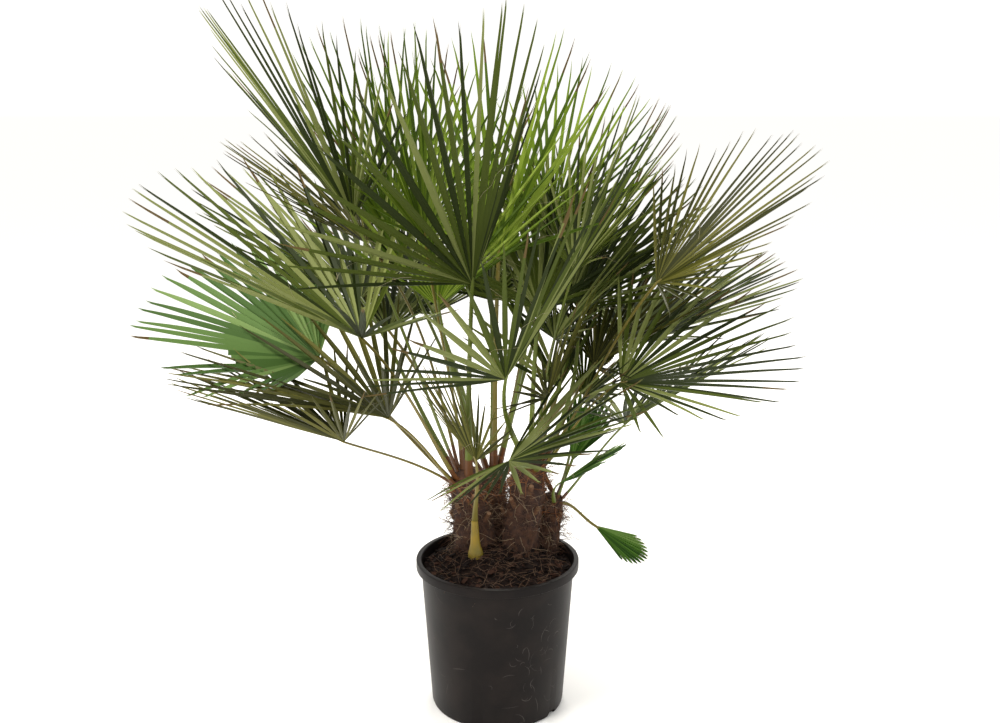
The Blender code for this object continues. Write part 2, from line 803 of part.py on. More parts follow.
def main():
    clear_scene()
    materials = make_materials()
    build_pot(materials["pot"])
    build_soil(materials["soil"])
    bodies = {}
    for stem in STEMS:
        body = build_stem(stem, materials["stem"])
        points = [vertex.co.copy() for vertex in body.data.vertices]
        faces = [tuple(polygon.vertices) for polygon in body.data.polygons]
        bodies[stem.name] = (Vector(stem.crown), tree(points, faces), stem.crown_radius, points, faces)
    build_fronds(bodies, materials)


if __name__ == "__main__":
    main()
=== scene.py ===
"""Looks of a potted European fan palm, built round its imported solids.

The crown grows by the same rule as the solids: every frond keeps its stalk, the run of its blade that is
clear and the way each leaflet turns aside, and is drawn with finer, folded leaflets. Lengths are in metres,
angles in degrees except where a docstring says radians, +Z is up and the front faces -Y.
"""

from __future__ import annotations

import logging
import math
import random
from collections.abc import Iterable, Sequence
from dataclasses import dataclass, field
from enum import Enum

import bmesh
import bpy
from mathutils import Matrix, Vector, noise
from mathutils.bvhtree import BVHTree
from mathutils.geometry import interpolate_bezier

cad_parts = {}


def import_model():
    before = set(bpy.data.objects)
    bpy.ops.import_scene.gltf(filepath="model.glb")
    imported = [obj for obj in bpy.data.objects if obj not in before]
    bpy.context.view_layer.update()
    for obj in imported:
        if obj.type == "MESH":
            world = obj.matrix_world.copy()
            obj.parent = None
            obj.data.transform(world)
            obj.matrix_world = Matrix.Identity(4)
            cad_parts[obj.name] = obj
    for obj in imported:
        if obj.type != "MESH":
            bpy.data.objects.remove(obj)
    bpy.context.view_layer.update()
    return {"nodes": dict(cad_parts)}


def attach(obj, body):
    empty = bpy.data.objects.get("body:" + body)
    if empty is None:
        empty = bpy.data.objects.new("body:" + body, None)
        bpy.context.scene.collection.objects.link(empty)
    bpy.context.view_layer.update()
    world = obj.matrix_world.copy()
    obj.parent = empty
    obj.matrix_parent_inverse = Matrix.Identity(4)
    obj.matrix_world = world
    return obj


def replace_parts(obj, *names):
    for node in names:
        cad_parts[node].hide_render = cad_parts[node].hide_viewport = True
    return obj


Colour = tuple[float, float, float]
Place = tuple[float, float, float]
Way = tuple[float, float, float]
Span = tuple[float, float]
Face = tuple[int, ...]

LOG = logging.getLogger("fan_palm")
UP = Vector((0.0, 0.0, 1.0))
BODY = "root"

# The gap between solids that touch, and the room that a frond leaves round itself.
CLEARANCE = 0.0003
LEAST_CLEAR = 0.0006

# A loose fibre: its rings, how fast it thins, how much it curls at each ring and how far up or down.
STRAND_RINGS = 6
STRAND_TAPER = 0.13
STRAND_CURL = 0.45
STRAND_RISES = (-1.0, 0.3)


class Tone(Enum):
    """Named colour families of the fronds, one of which paints the glow of back-light into the colour."""

    LEAF = "leaf"
    # Lit fronds lightened and yellowed to paint the glow of light shining through them from behind: painted
    # back-light, not a colour of the leaf.
    BRIGHT = "bright"
    PALE = "pale"
    DULL = "dull"
    YOUNG = "young"


class Shading(Enum):
    """Angle under which the edges of a kind of piece are smooth."""

    FLAT = 0.0
    LEAF = 25.0
    POT = 35.0
    WOOD = 40.0
    STALK = 50.0
    SKIN = 60.0


@dataclass(frozen=True)
class Finish:
    """A procedural surface.

    Args:
        name: material name.
        colour: linear base colour.
        roughness: shader roughness.
        second: colour that noise mixes in, or None for a plain colour.
        grain: scale of that noise.
        amount: how much of the surface the second colour takes.
        bump: depth in metres of the relief that goes with the second colour.
        specular: strength of the shine.
    """

    name: str
    colour: Colour
    roughness: float = 0.5
    second: Colour | None = None
    grain: float = 40.0
    amount: float = 0.6
    bump: float = 0.0
    specular: float = 0.5

    NOISE_DETAIL = 6.0
    RAMP_START = 0.42
    RAMP_LENGTH = 0.2

    def build(self) -> bpy.types.Material:
        """Makes the material.

        Returns:
            The new material, with its noise on Object coordinates.
        """
        material = bpy.data.materials.new(self.name)
        material.use_nodes = True
        nodes, join = material.node_tree.nodes, material.node_tree.links.new
        shader = nodes["Principled BSDF"]
        shader.inputs["Base Color"].default_value = (*self.colour, 1.0)
        shader.inputs["Roughness"].default_value = self.roughness
        shader.inputs["Specular IOR Level"].default_value = self.specular
        if self.second is None:
            return material
        place = nodes.new("ShaderNodeTexCoord")
        cloud = nodes.new("ShaderNodeTexNoise")
        cloud.inputs["Scale"].default_value = self.grain
        cloud.inputs["Detail"].default_value = self.NOISE_DETAIL
        join(place.outputs["Object"], cloud.inputs["Vector"])
        ramp = nodes.new("ShaderNodeValToRGB")
        ramp_end = self.RAMP_START + self.RAMP_LENGTH / self.amount
        stops = ((self.RAMP_START, self.colour), (ramp_end, self.second))
        for stop, (position, colour) in zip(ramp.color_ramp.elements, stops):
            stop.position = position
            stop.color = (*colour, 1.0)
        join(cloud.outputs["Fac"], ramp.inputs["Fac"])
        join(ramp.outputs["Color"], shader.inputs["Base Color"])
        if self.bump > 0.0:
            relief = nodes.new("ShaderNodeBump")
            relief.inputs["Distance"].default_value = self.bump
            join(cloud.outputs["Fac"], relief.inputs["Height"])
            join(relief.outputs["Normal"], shader.inputs["Normal"])
        return material


def new_piece(name: str, mesh: bpy.types.Mesh, finish: Finish) -> bpy.types.Object:
    """Puts a mesh into the scene.

    Args:
        name: name of the piece.
        mesh: its mesh.
        finish: its surface.

    Returns:
        The new object, at the origin.
    """
    mesh.materials.append(finish.build())
    piece = bpy.data.objects.new(name, mesh)
    bpy.context.scene.collection.objects.link(piece)
    return piece


def settle(piece: bpy.types.Object, shading: Shading) -> None:
    """Shades a finished piece, lets it ride on the body and reports it.

    Args:
        piece: the piece.
        shading: how smooth its edges are.
    """
    if shading is not Shading.FLAT:
        bpy.ops.object.select_all(action="DESELECT")
        piece.select_set(True)
        bpy.context.view_layer.objects.active = piece
        bpy.ops.object.shade_smooth_by_angle(angle=math.radians(shading.value))
        piece.select_set(False)
    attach(piece, BODY)
    LOG.info("%s: %d faces", piece.name, len(piece.data.polygons))


class MeshBuffer:
    """Points and faces of one kind of piece, gathered before they become one joined mesh."""

    def __init__(self) -> None:
        """Starts empty."""
        self.points: list[Vector] = []
        self.faces: list[Face] = []

    def add(self, points: Sequence[Vector], faces: Iterable[Sequence[int]]) -> None:
        """Adds one small shape.

        Args:
            points: its points.
            faces: its faces, as places in points.
        """
        start = len(self.points)
        self.points.extend(points)
        self.faces.extend(tuple(start + corner for corner in face) for face in faces)

    def make(self, name: str, finish: Finish, slot: str, shading: Shading) -> bpy.types.Object:
        """Makes the joined mesh object and settles it.

        Args:
            name: name of the piece.
            finish: its surface.
            slot: not used.
            shading: how smooth its edges are.

        Returns:
            The new object.
        """
        mesh = bpy.data.meshes.new(name)
        mesh.from_pydata(self.points, [], self.faces)
        mesh.validate()
        piece = new_piece(name, mesh, finish)
        settle(piece, shading)
        return piece


def direction(azimuth: float, rise: float) -> Vector:
    """Unit direction.

    Args:
        azimuth: angle from +X towards +Y.
        rise: angle above the level.

    Returns:
        The direction.
    """
    azimuth, rise = math.radians(azimuth), math.radians(rise)
    level = math.cos(rise)
    return Vector((level * math.cos(azimuth), level * math.sin(azimuth), math.sin(rise)))


def at_turn(turn: float, radius: float = 1.0, height: float = 0.0) -> Vector:
    """Point at a turn in radians round the vertical axis."""
    return Vector((radius * math.cos(turn), radius * math.sin(turn), height))


def turns_of(sides: int) -> list[float]:
    """Turns in radians of the corners of a ring."""
    return [math.tau * side / sides for side in range(sides)]


def drift(chance: random.Random, least_rise: float, most_rise: float) -> Vector:
    """Random vector of any heading, with its rise between these."""
    return Vector((chance.uniform(-1, 1), chance.uniform(-1, 1), chance.uniform(least_rise, most_rise)))


def oval(centre: Vector, wide: Vector, deep: Vector, sides: int, flat: float = 1.0) -> list[Vector]:
    """Ring of points.

    Args:
        centre: its middle.
        wide: half its width, as a vector.
        deep: half its depth, as a vector.
        sides: number of points.
        flat: share of the half depth at which its upper side is cut flat.

    Returns:
        The points.
    """
    return [centre + wide * math.cos(turn) + deep * min(math.sin(turn), flat) for turn in turns_of(sides)]


def tube_faces(rings: int, sides: int) -> list[Face]:
    """Faces of a tube with both ends capped.

    Args:
        rings: number of rings.
        sides: points in each ring.

    Returns:
        Faces as places in the rings' points.
    """
    faces: list[Face] = []
    for low in range(0, sides * (rings - 1), sides):
        for side in range(sides):
            after, high = (side + 1) % sides, low + sides
            faces.append((low + side, low + after, high + after, high + side))
    faces.append(tuple(reversed(range(sides))))
    faces.append(tuple(sides * (rings - 1) + side for side in range(sides)))
    return faces


def fold_faces(rows: int) -> list[Face]:
    """Faces of a folded strip.

    Args:
        rows: number of rows, each of a left edge, a keel and a right edge.

    Returns:
        Faces as places in the rows' points.
    """
    faces: list[Face] = []
    for at in range(0, 3 * (rows - 1), 3):
        faces += [(at, at + 1, at + 4, at + 3), (at + 1, at + 2, at + 5, at + 4)]
    return faces


def strand(
    start: Vector, aim: Vector, length: float, thick: float, buffer: MeshBuffer, chance: random.Random
) -> None:
    """Draws one loose fibre as a thin three-sided curl.

    Args:
        start: its root.
        aim: the way it sets out.
        length: its length.
        thick: its radius at the root.
        buffer: where it is drawn.
        chance: random numbers of what it belongs to.
    """
    points: list[Vector] = []
    centre, heading = start, aim.normalized()
    for step in range(STRAND_RINGS):
        thin = thick * (1 - STRAND_TAPER * step)
        side = heading.orthogonal().normalized()
        points += oval(centre, side * thin, heading.cross(side) * thin, 3)
        centre = centre + heading * (length / (STRAND_RINGS - 1))
        heading = (heading + drift(chance, *STRAND_RISES) * STRAND_CURL).normalized()
    buffer.add(points, tube_faces(STRAND_RINGS, 3))


@dataclass(frozen=True)
class Stem:
    """A fibrous stem that leans from its foot in the soil to its growing crown.

    Args:
        name: name of its solid.
        foot: where it leaves the soil.
        crown: top of its middle line.
        foot_radius: radius at the foot.
        crown_radius: radius at the crown.
        stubs: number of cut leaf feet on it, none on a young shoot.
    """

    name: str
    foot: Span
    crown: Place
    foot_radius: float
    crown_radius: float
    stubs: int


STEMS: tuple[Stem, ...] = (
    Stem("stem_left", (-0.050, 0.060), (-0.065, 0.055, 0.500), 0.050, 0.040, 9),
    Stem("stem_right", (0.050, 0.055), (0.070, 0.060, 0.530), 0.042, 0.038, 9),
    Stem("stem_back", (-0.004, 0.132), (-0.010, 0.130, 0.480), 0.026, 0.028, 5),
    Stem("stem_side", (0.115, 0.078), (0.125, 0.090, 0.440), 0.022, 0.023, 4),
    Stem("shoot_front", (-0.048, -0.012), (-0.050, -0.010, 0.425), 0.015, 0.011, 0),
)


@dataclass(frozen=True)
class Frond:
    """A fan leaf: where its stalk leads from the stem's crown, and how its blade stands there.

    Args:
        name: name of its solid.
        stem: name of the stem that it grows from.
        azimuth: heading from the crown to the blade's hub.
        rise: rise from the crown to the hub.
        length: distance from the crown to the hub.
        blade_azimuth: heading of the blade's middle leaflet.
        blade_rise: rise of the middle leaflet.
        radius: length of the middle leaflet.
        spread: angle between the outermost leaflets.
        roll: turn of the blade round its middle leaflet.
        cup: how far the sides of the fan bend up.
        leaflets: number of leaflets of the solid.
        split: share of the radius at which the leaflets part.
        tone: its colour family; on the lit fronds it is painted back-light.
    """

    name: str
    stem: str
    azimuth: float
    rise: float
    length: float
    blade_azimuth: float
    blade_rise: float
    radius: float
    spread: float = 190.0
    roll: float = 0.0
    cup: float = 20.0
    leaflets: int = 22
    split: float = 0.29
    tone: Tone = Tone.LEAF


SHOWN_FRONDS: tuple[Frond, ...] = (
    Frond("frond_left_high", "stem_left", -167, 68, 0.64, -157, 60, 0.54, 130, -10, 25),
    Frond("frond_left", "stem_left", -135, 52, 0.47, -162, 35, 0.54, 190, 15, 40),
    Frond("frond_left_low", "stem_left", -140, 41, 0.28, -171, 17, 0.48, 190, 0, 45, tone=Tone.DULL),
    Frond("frond_left_lowest", "stem_left", -148, 25, 0.33, -165, 25, 0.38, 180, 0, 45, tone=Tone.DULL),
    Frond("frond_left_pale", "stem_left", 169, 38, 0.43, 178, 20, 0.42, 170, 25, 25, 22, 0.5, Tone.PALE),
    Frond("frond_left_dark", "stem_left", 168, 67, 0.57, 178, 38, 0.38, 150, 10, 30, tone=Tone.DULL),
    Frond("frond_left_up", "stem_left", -142, 79, 0.56, 150, 84, 0.46, 150, 0, 20, tone=Tone.BRIGHT),
    Frond("frond_front_high", "stem_left", -86, 64, 0.54, -30, 84, 0.56, 180, 0, 35),
    Frond("frond_front", "stem_right", -99, 40, 0.45, -42, 62, 0.46, 190, -12, 22),
    Frond("frond_front_low", "stem_right", -101, 21, 0.26, -35, 28, 0.35, 200, -20, 20),
    Frond("frond_shoot", "shoot_front", -84, 75, 0.16, -141, 66, 0.26, 120, 0, 20, 14, tone=Tone.DULL),
    Frond("frond_right_high", "stem_right", -25, 57, 0.52, -22, 42, 0.43, 150, -28, 22, tone=Tone.DULL),
    Frond("frond_right_low", "stem_right", -41, 44, 0.34, -18, 14, 0.39, 200, -20, 28),
    Frond("frond_right_upper", "stem_right", -6, 78, 0.45, 0, 64, 0.42, 150, -20, 30),
    Frond("frond_right_middle", "stem_right", 8, 58, 0.27, 0, 44, 0.36, 180, -20, 20, tone=Tone.DULL),
    Frond("frond_right_inner", "stem_right", 53, 71, 0.29, 12, 68, 0.36, 170, -10, 20),
    Frond("frond_right_short", "stem_right", -66, 64, 0.20, -30, 66, 0.33, 180, -15, 20, tone=Tone.DULL),
    Frond("frond_back_lit", "stem_back", -146, 71, 0.44, -90, 88, 0.56, 110, 0, 10, tone=Tone.BRIGHT),
    Frond("frond_back_inner", "stem_back", -165, 62, 0.33, 175, 62, 0.32, 170, 10, 20),
    Frond("frond_top_left", "stem_back", 175, 68, 0.60, 145, 79, 0.50, 140, 0, 20, tone=Tone.BRIGHT),
    Frond("frond_top", "stem_back", 62, 87, 0.51, 49, 83, 0.54, 150, 0, 20, tone=Tone.BRIGHT),
    Frond("frond_top_right", "stem_back", 31, 75, 0.57, 37, 72, 0.42, 150, -10, 20, tone=Tone.BRIGHT),
    Frond("young_leaf_1", "stem_side", -86, 38, 0.11, -19, 36, 0.19, 75, 0, 0, 7, 0.6, Tone.YOUNG),
    Frond("young_leaf_2", "stem_side", -45, 62, 0.12, 11, 70, 0.18, 60, -50, 0, 6, 0.7, Tone.YOUNG),
    Frond("folded_leaf", "stem_side", -40, -15, 0.12, -23, -26, 0.14, 40, -50, 0, 6, 0.85, Tone.YOUNG),
)


@dataclass(frozen=True)
class BackRow:
    """Fronds of one stem that fill a part of the crown that the shown ones leave open.

    Args:
        stem: name of their stem.
        count: how many there are.
        first: azimuth at which their fan begins.
        last: azimuth at which it ends.
        lift: how much steeper than usual they rise.
        length: least distance from the crown to a hub.
        radius: least length of a middle leaflet.
    """

    stem: str
    count: int
    first: float
    last: float
    lift: float
    length: float
    radius: float

    RISES = (38, 62, 50, 72)
    MORE_LENGTH = 0.1
    MORE_RADIUS = 0.05
    STRAY = 15
    NOD = 12
    SPREAD = 180
    MOST_ROLL = 20
    CUP = 20
    LEAFLETS = 20

    def fronds(self, chance: random.Random) -> list[Frond]:
        """The row's fronds.

        Args:
            chance: random numbers that all rows share.

        Returns:
            The fronds, from the first azimuth to the last.
        """
        made = []
        for index in range(self.count):
            azimuth = self.first + (self.last - self.first) * (index + 0.5) / self.count
            rise = self.RISES[index % len(self.RISES)] + self.lift
            made.append(
                Frond(
                    f"frond_{self.stem.split('_')[1]}_{index + 1}",
                    self.stem,
                    azimuth,
                    rise,
                    self.length + self.MORE_LENGTH * chance.random(),
                    azimuth + chance.uniform(-self.STRAY, self.STRAY),
                    rise - self.NOD,
                    self.radius + self.MORE_RADIUS * chance.random(),
                    self.SPREAD,
                    chance.uniform(-self.MOST_ROLL, self.MOST_ROLL),
                    self.CUP,
                    self.LEAFLETS,
                )
            )
        return made


BACK_ROWS: tuple[BackRow, ...] = (
    BackRow("stem_back", 7, 20, 165, 0, 0.40, 0.44),
    BackRow("stem_right", 4, 15, 80, 6, 0.32, 0.38),
    BackRow("stem_left", 4, 105, 165, 0, 0.40, 0.44),
    BackRow("stem_side", 4, -25, 70, 12, 0.24, 0.34),
)


class Blade:
    """A frond's blade as directions and sizes round its hub, by the solids' rule."""

    EDGE = 0.002
    HUB_THICKNESS = 0.011
    KEEL_SHARE = 0.0115
    WIDTH_SHARE = 0.036
    USUAL_LEAFLETS = 22
    KNEE = 0.5
    KNEE_SAG = 0.3
    SIDE_SHORTENING = 0.30
    SAG = 0.02

    def __init__(self, frond: Frond, crown: Vector) -> None:
        """Places the blade.

        Args:
            frond: the frond that it belongs to.
            crown: crown point of the frond's stem.
        """
        self.frond = frond
        self.hub = crown + direction(frond.azimuth, frond.rise) * frond.length
        self.axis = direction(frond.blade_azimuth, frond.blade_rise)
        level = direction(frond.blade_azimuth + 90, 0)
        upper = self.axis.cross(level)
        roll = math.radians(frond.roll)
        self.upper = upper * math.cos(roll) + level * math.sin(roll)
        self.side = level * math.cos(roll) - upper * math.sin(roll)
        self.step = frond.spread / frond.leaflets

    def angle(self, position: float) -> float:
        """Angle from the middle of the blade, where whole positions are the splits between leaflets."""
        return self.step * position - 0.5 * self.frond.spread

    def ray(self, angle: float) -> Vector:
        """Direction in the cupped blade.

        Args:
            angle: angle from the blade's middle.

        Returns:
            The direction from the hub.
        """
        turn = math.radians(angle)
        lift = math.radians(self.frond.cup) * (1 - math.cos(turn))
        flat = self.axis * math.cos(turn) + self.side * math.sin(turn)
        return flat * math.cos(lift) + self.upper * math.sin(lift)

    def frame(self, angle: float) -> tuple[Vector, Vector, Vector]:
        """Directions at a place in the blade.

        Args:
            angle: angle from the blade's middle.

        Returns:
            Directions outwards, across and out of the upper face.
        """
        out = self.ray(angle)
        across = (self.ray(angle + 1) - self.ray(angle - 1)).normalized()
        return out, across, out.cross(across)

    def reach(self, angle: float) -> float:
        """Length of the leaflet at this angle: the outer ones are shorter."""
        share = abs(angle) / (0.5 * self.frond.spread)
        return self.frond.radius * (1 - self.SIDE_SHORTENING * share * share)

    def split(self, angle: float) -> float:
        """Distance from the hub at which the leaflets part."""
        return self.reach(angle) * self.frond.split

    def keel(self) -> float:
        """Depth of the fold under each leaflet."""
        return self.KEEL_SHARE * self.frond.radius

    def split_point(self, position: float, lift: float) -> Vector:
        """Point where two leaflets part.

        Args:
            position: place in the blade, counted in leaflets.
            lift: how far it is lifted out of the upper face.

        Returns:
            The point.
        """
        angle = self.angle(position)
        out, _, upper = self.frame(angle)
        return self.hub + out * self.split(angle) + upper * lift

    def sector(self, index: int, grow: float = 0.0) -> list[Vector]:
        """Undivided blade under one leaflet of the solid.

        Args:
            index: number of the leaflet.
            grow: how much thicker than the solid it is taken.

        Returns:
            Its points, in the order of the faces in Crown.
        """
        half = 0.5 * self.EDGE + grow
        angle = self.angle(index + 0.5)
        out, _, upper = self.frame(angle)
        hub_half = 0.5 * self.HUB_THICKNESS + grow
        return [
            self.hub + self.upper * hub_half,
            self.hub - self.upper * hub_half,
            self.split_point(index, half),
            self.split_point(index + 1, half),
            self.split_point(index, -half),
            self.split_point(index + 1, -half),
            self.hub + out * self.split(angle) - upper * (self.keel() + grow),
        ]

    def aim(self, angle: float, turn: float, lift: float) -> tuple[Vector, Vector, Vector]:
        """Directions of a free leaflet.

        Args:
            angle: its angle in the blade.
            turn: sideways turn as a share of the solid's leaflet spacing.
            lift: upward tilt.

        Returns:
            Directions along, across and out of its upper face.
        """
        out, across, upper = self.frame(angle)
        swing, tilt = math.radians(turn * self.step), math.radians(lift)
        aim = out * math.cos(swing) + across * math.sin(swing)
        aim = aim * math.cos(tilt) + upper * math.sin(tilt)
        across = upper.cross(aim).normalized()
        return aim, across, aim.cross(across)

    def leaflet(self, index: int, turn: float, lift: float, share: float, grow: float = 0.0) -> list[Vector]:
        """One free leaflet of the solid.

        Args:
            index: its number.
            turn: sideways turn as a share of the leaflet spacing.
            lift: upward tilt.
            share: share of its full length.
            grow: how much larger than the solid it is taken.

        Returns:
            Left, right and keel at its knee, and its tip.
        """
        angle = self.angle(index + 0.5)
        start = self.hub + self.ray(angle) * self.split(angle)
        aim, across, upper = self.aim(angle, turn, lift)
        length = (self.reach(angle) - self.split(angle)) * share
        widen = (self.USUAL_LEAFLETS / self.frond.leaflets) ** 0.5
        half = 0.5 * self.WIDTH_SHARE * self.frond.radius * widen + grow
        knee = start + aim * (length * self.KNEE) - UP * (self.KNEE_SAG * self.SAG * length)
        tip = start + aim * (length + grow) - UP * (self.SAG * length)
        return [knee - across * half, knee + across * half, knee - upper * (self.keel() + grow), tip]


class Occupied:
    """What already stands in the crown, by its owner, so that a frond ignores itself."""

    def __init__(self) -> None:
        """Starts empty."""
        self.shapes: list[tuple[str, list[Vector], Sequence[Face]]] = []

    def add(self, owner: str, points: list[Vector], faces: Sequence[Face]) -> None:
        """Adds a shape of this owner."""
        self.shapes.append((owner, points, faces))

    def others(self, owner: str, left_out: Iterable[str] = ()) -> BVHTree:
        """Search tree of the shapes around an owner.

        Args:
            owner: whose own shapes are left out.
            left_out: other owners that are left out.

        Returns:
            The tree.
        """
        points: list[Vector] = []
        faces: list[Face] = []
        for name, some_points, some_faces in self.shapes:
            if name != owner and name not in left_out:
                start = len(points)
                points += some_points
                faces += [tuple(start + corner for corner in face) for face in some_faces]
        return BVHTree.FromPolygons(points, faces)


@dataclass(frozen=True)
class StemSurface:
    """A stem's solid, as what a stalk starts from.

    Args:
        crown: top of the stem's middle line.
        surface: search tree of its faces.
        radius: radius at the crown.
    """

    crown: Vector
    surface: BVHTree
    radius: float


class Stalk:
    """The stalk of one frond, by the solids' rule."""

    STATIONS = (0.0, 0.09, 0.3, 0.55, 0.8, 1.0)
    BASE_WIDTH = 0.018
    WIDTH = 0.013
    THICKNESS = 0.009
    SMALLEST = 0.45
    LEVEL_BELOW = 40
    STEEPER = 1.6
    STEEPEST = 75.0
    RISE = 0.6
    LEAVE = 0.3
    ARRIVE = 0.33
    STEPS = 40
    SIDES = 4
    OUTSIDE = 3

    def __init__(self, blade: Blade, body: StemSurface, bow: float, turn: float) -> None:
        """Finds the foot on the stem and the curve to the hub.

        Args:
            blade: the blade that it carries.
            body: the stem that it grows from.
            bow: how far it bows sideways, as a share of its length.
            turn: how far its foot is turned round the stem.
        """
        frond = blade.frond
        self.blade = blade
        self.scale = min(1.0, self.SMALLEST + frond.radius)
        slope = max(0.0, min(self.STEEPEST, self.STEEPER * (frond.rise - self.LEVEL_BELOW)))
        aim = direction(frond.azimuth + turn, slope)
        outside = body.crown + aim * (self.OUTSIDE * body.radius)
        found, self.normal, _, _ = body.surface.ray_cast(outside, -aim)
        self.foot = found + self.normal * CLEARANCE
        chord = blade.hub - self.foot
        length = chord.length
        straight = chord.normalized()
        self.level = UP.cross(chord).normalized()
        sideways = self.level * (bow * length)
        leave = (self.normal + straight + UP * self.RISE).normalized()
        arrive = (straight + blade.axis).normalized()
        first = self.foot + leave * (self.LEAVE * length) + sideways
        second = blade.hub - arrive * (self.ARRIVE * length) + sideways
        self.route = interpolate_bezier(self.foot, first, second, blade.hub, self.STEPS + 1)

    def section(self, place: int) -> tuple[Vector, Vector, Vector, Vector]:
        """How the stalk stands at one step of its route.

        Args:
            place: number of the step.

        Returns:
            Its centre and the directions along, across and upwards.
        """
        share = place / self.STEPS
        along = (self.route[min(self.STEPS, place + 1)] - self.route[max(0, place - 1)]).normalized()
        if place == 0:
            along = self.normal
        if place == self.STEPS:
            return self.route[place], along, self.blade.side, self.blade.upper
        across = self.level.lerp(self.blade.side, share)
        across = (across - along * across.dot(along)).normalized()
        return self.route[place], along, across, along.cross(across)

    def points(self, grow: float = 0.0) -> list[Vector]:
        """Rings of the solid's stalk, from its flat foot to the hub.

        Args:
            grow: how much thicker than the solid it is taken.

        Returns:
            The rings' points.
        """
        made: list[Vector] = []
        for share in self.STATIONS:
            centre, _, across, upper = self.section(round(share * self.STEPS))
            width = (self.BASE_WIDTH if share == 0.0 else self.WIDTH) * self.scale
            depth = Blade.HUB_THICKNESS if share == 1.0 else self.THICKNESS * self.scale
            wide, deep = across * (0.5 * width + grow), upper * (0.5 * depth + grow)
            made += [centre + deep, centre + wide, centre - deep, centre - wide]
        return made


@dataclass
class GrownFrond:
    """A frond with its place settled.

    Args:
        blade: its blade.
        stalk: its stalk.
        sectors: numbers of the leaflets whose undivided blade is clear.
        ways: turn, lift and share of its length of each leaflet that is clear.
    """

    blade: Blade
    stalk: Stalk
    sectors: range
    ways: dict[int, Way] = field(default_factory=dict)


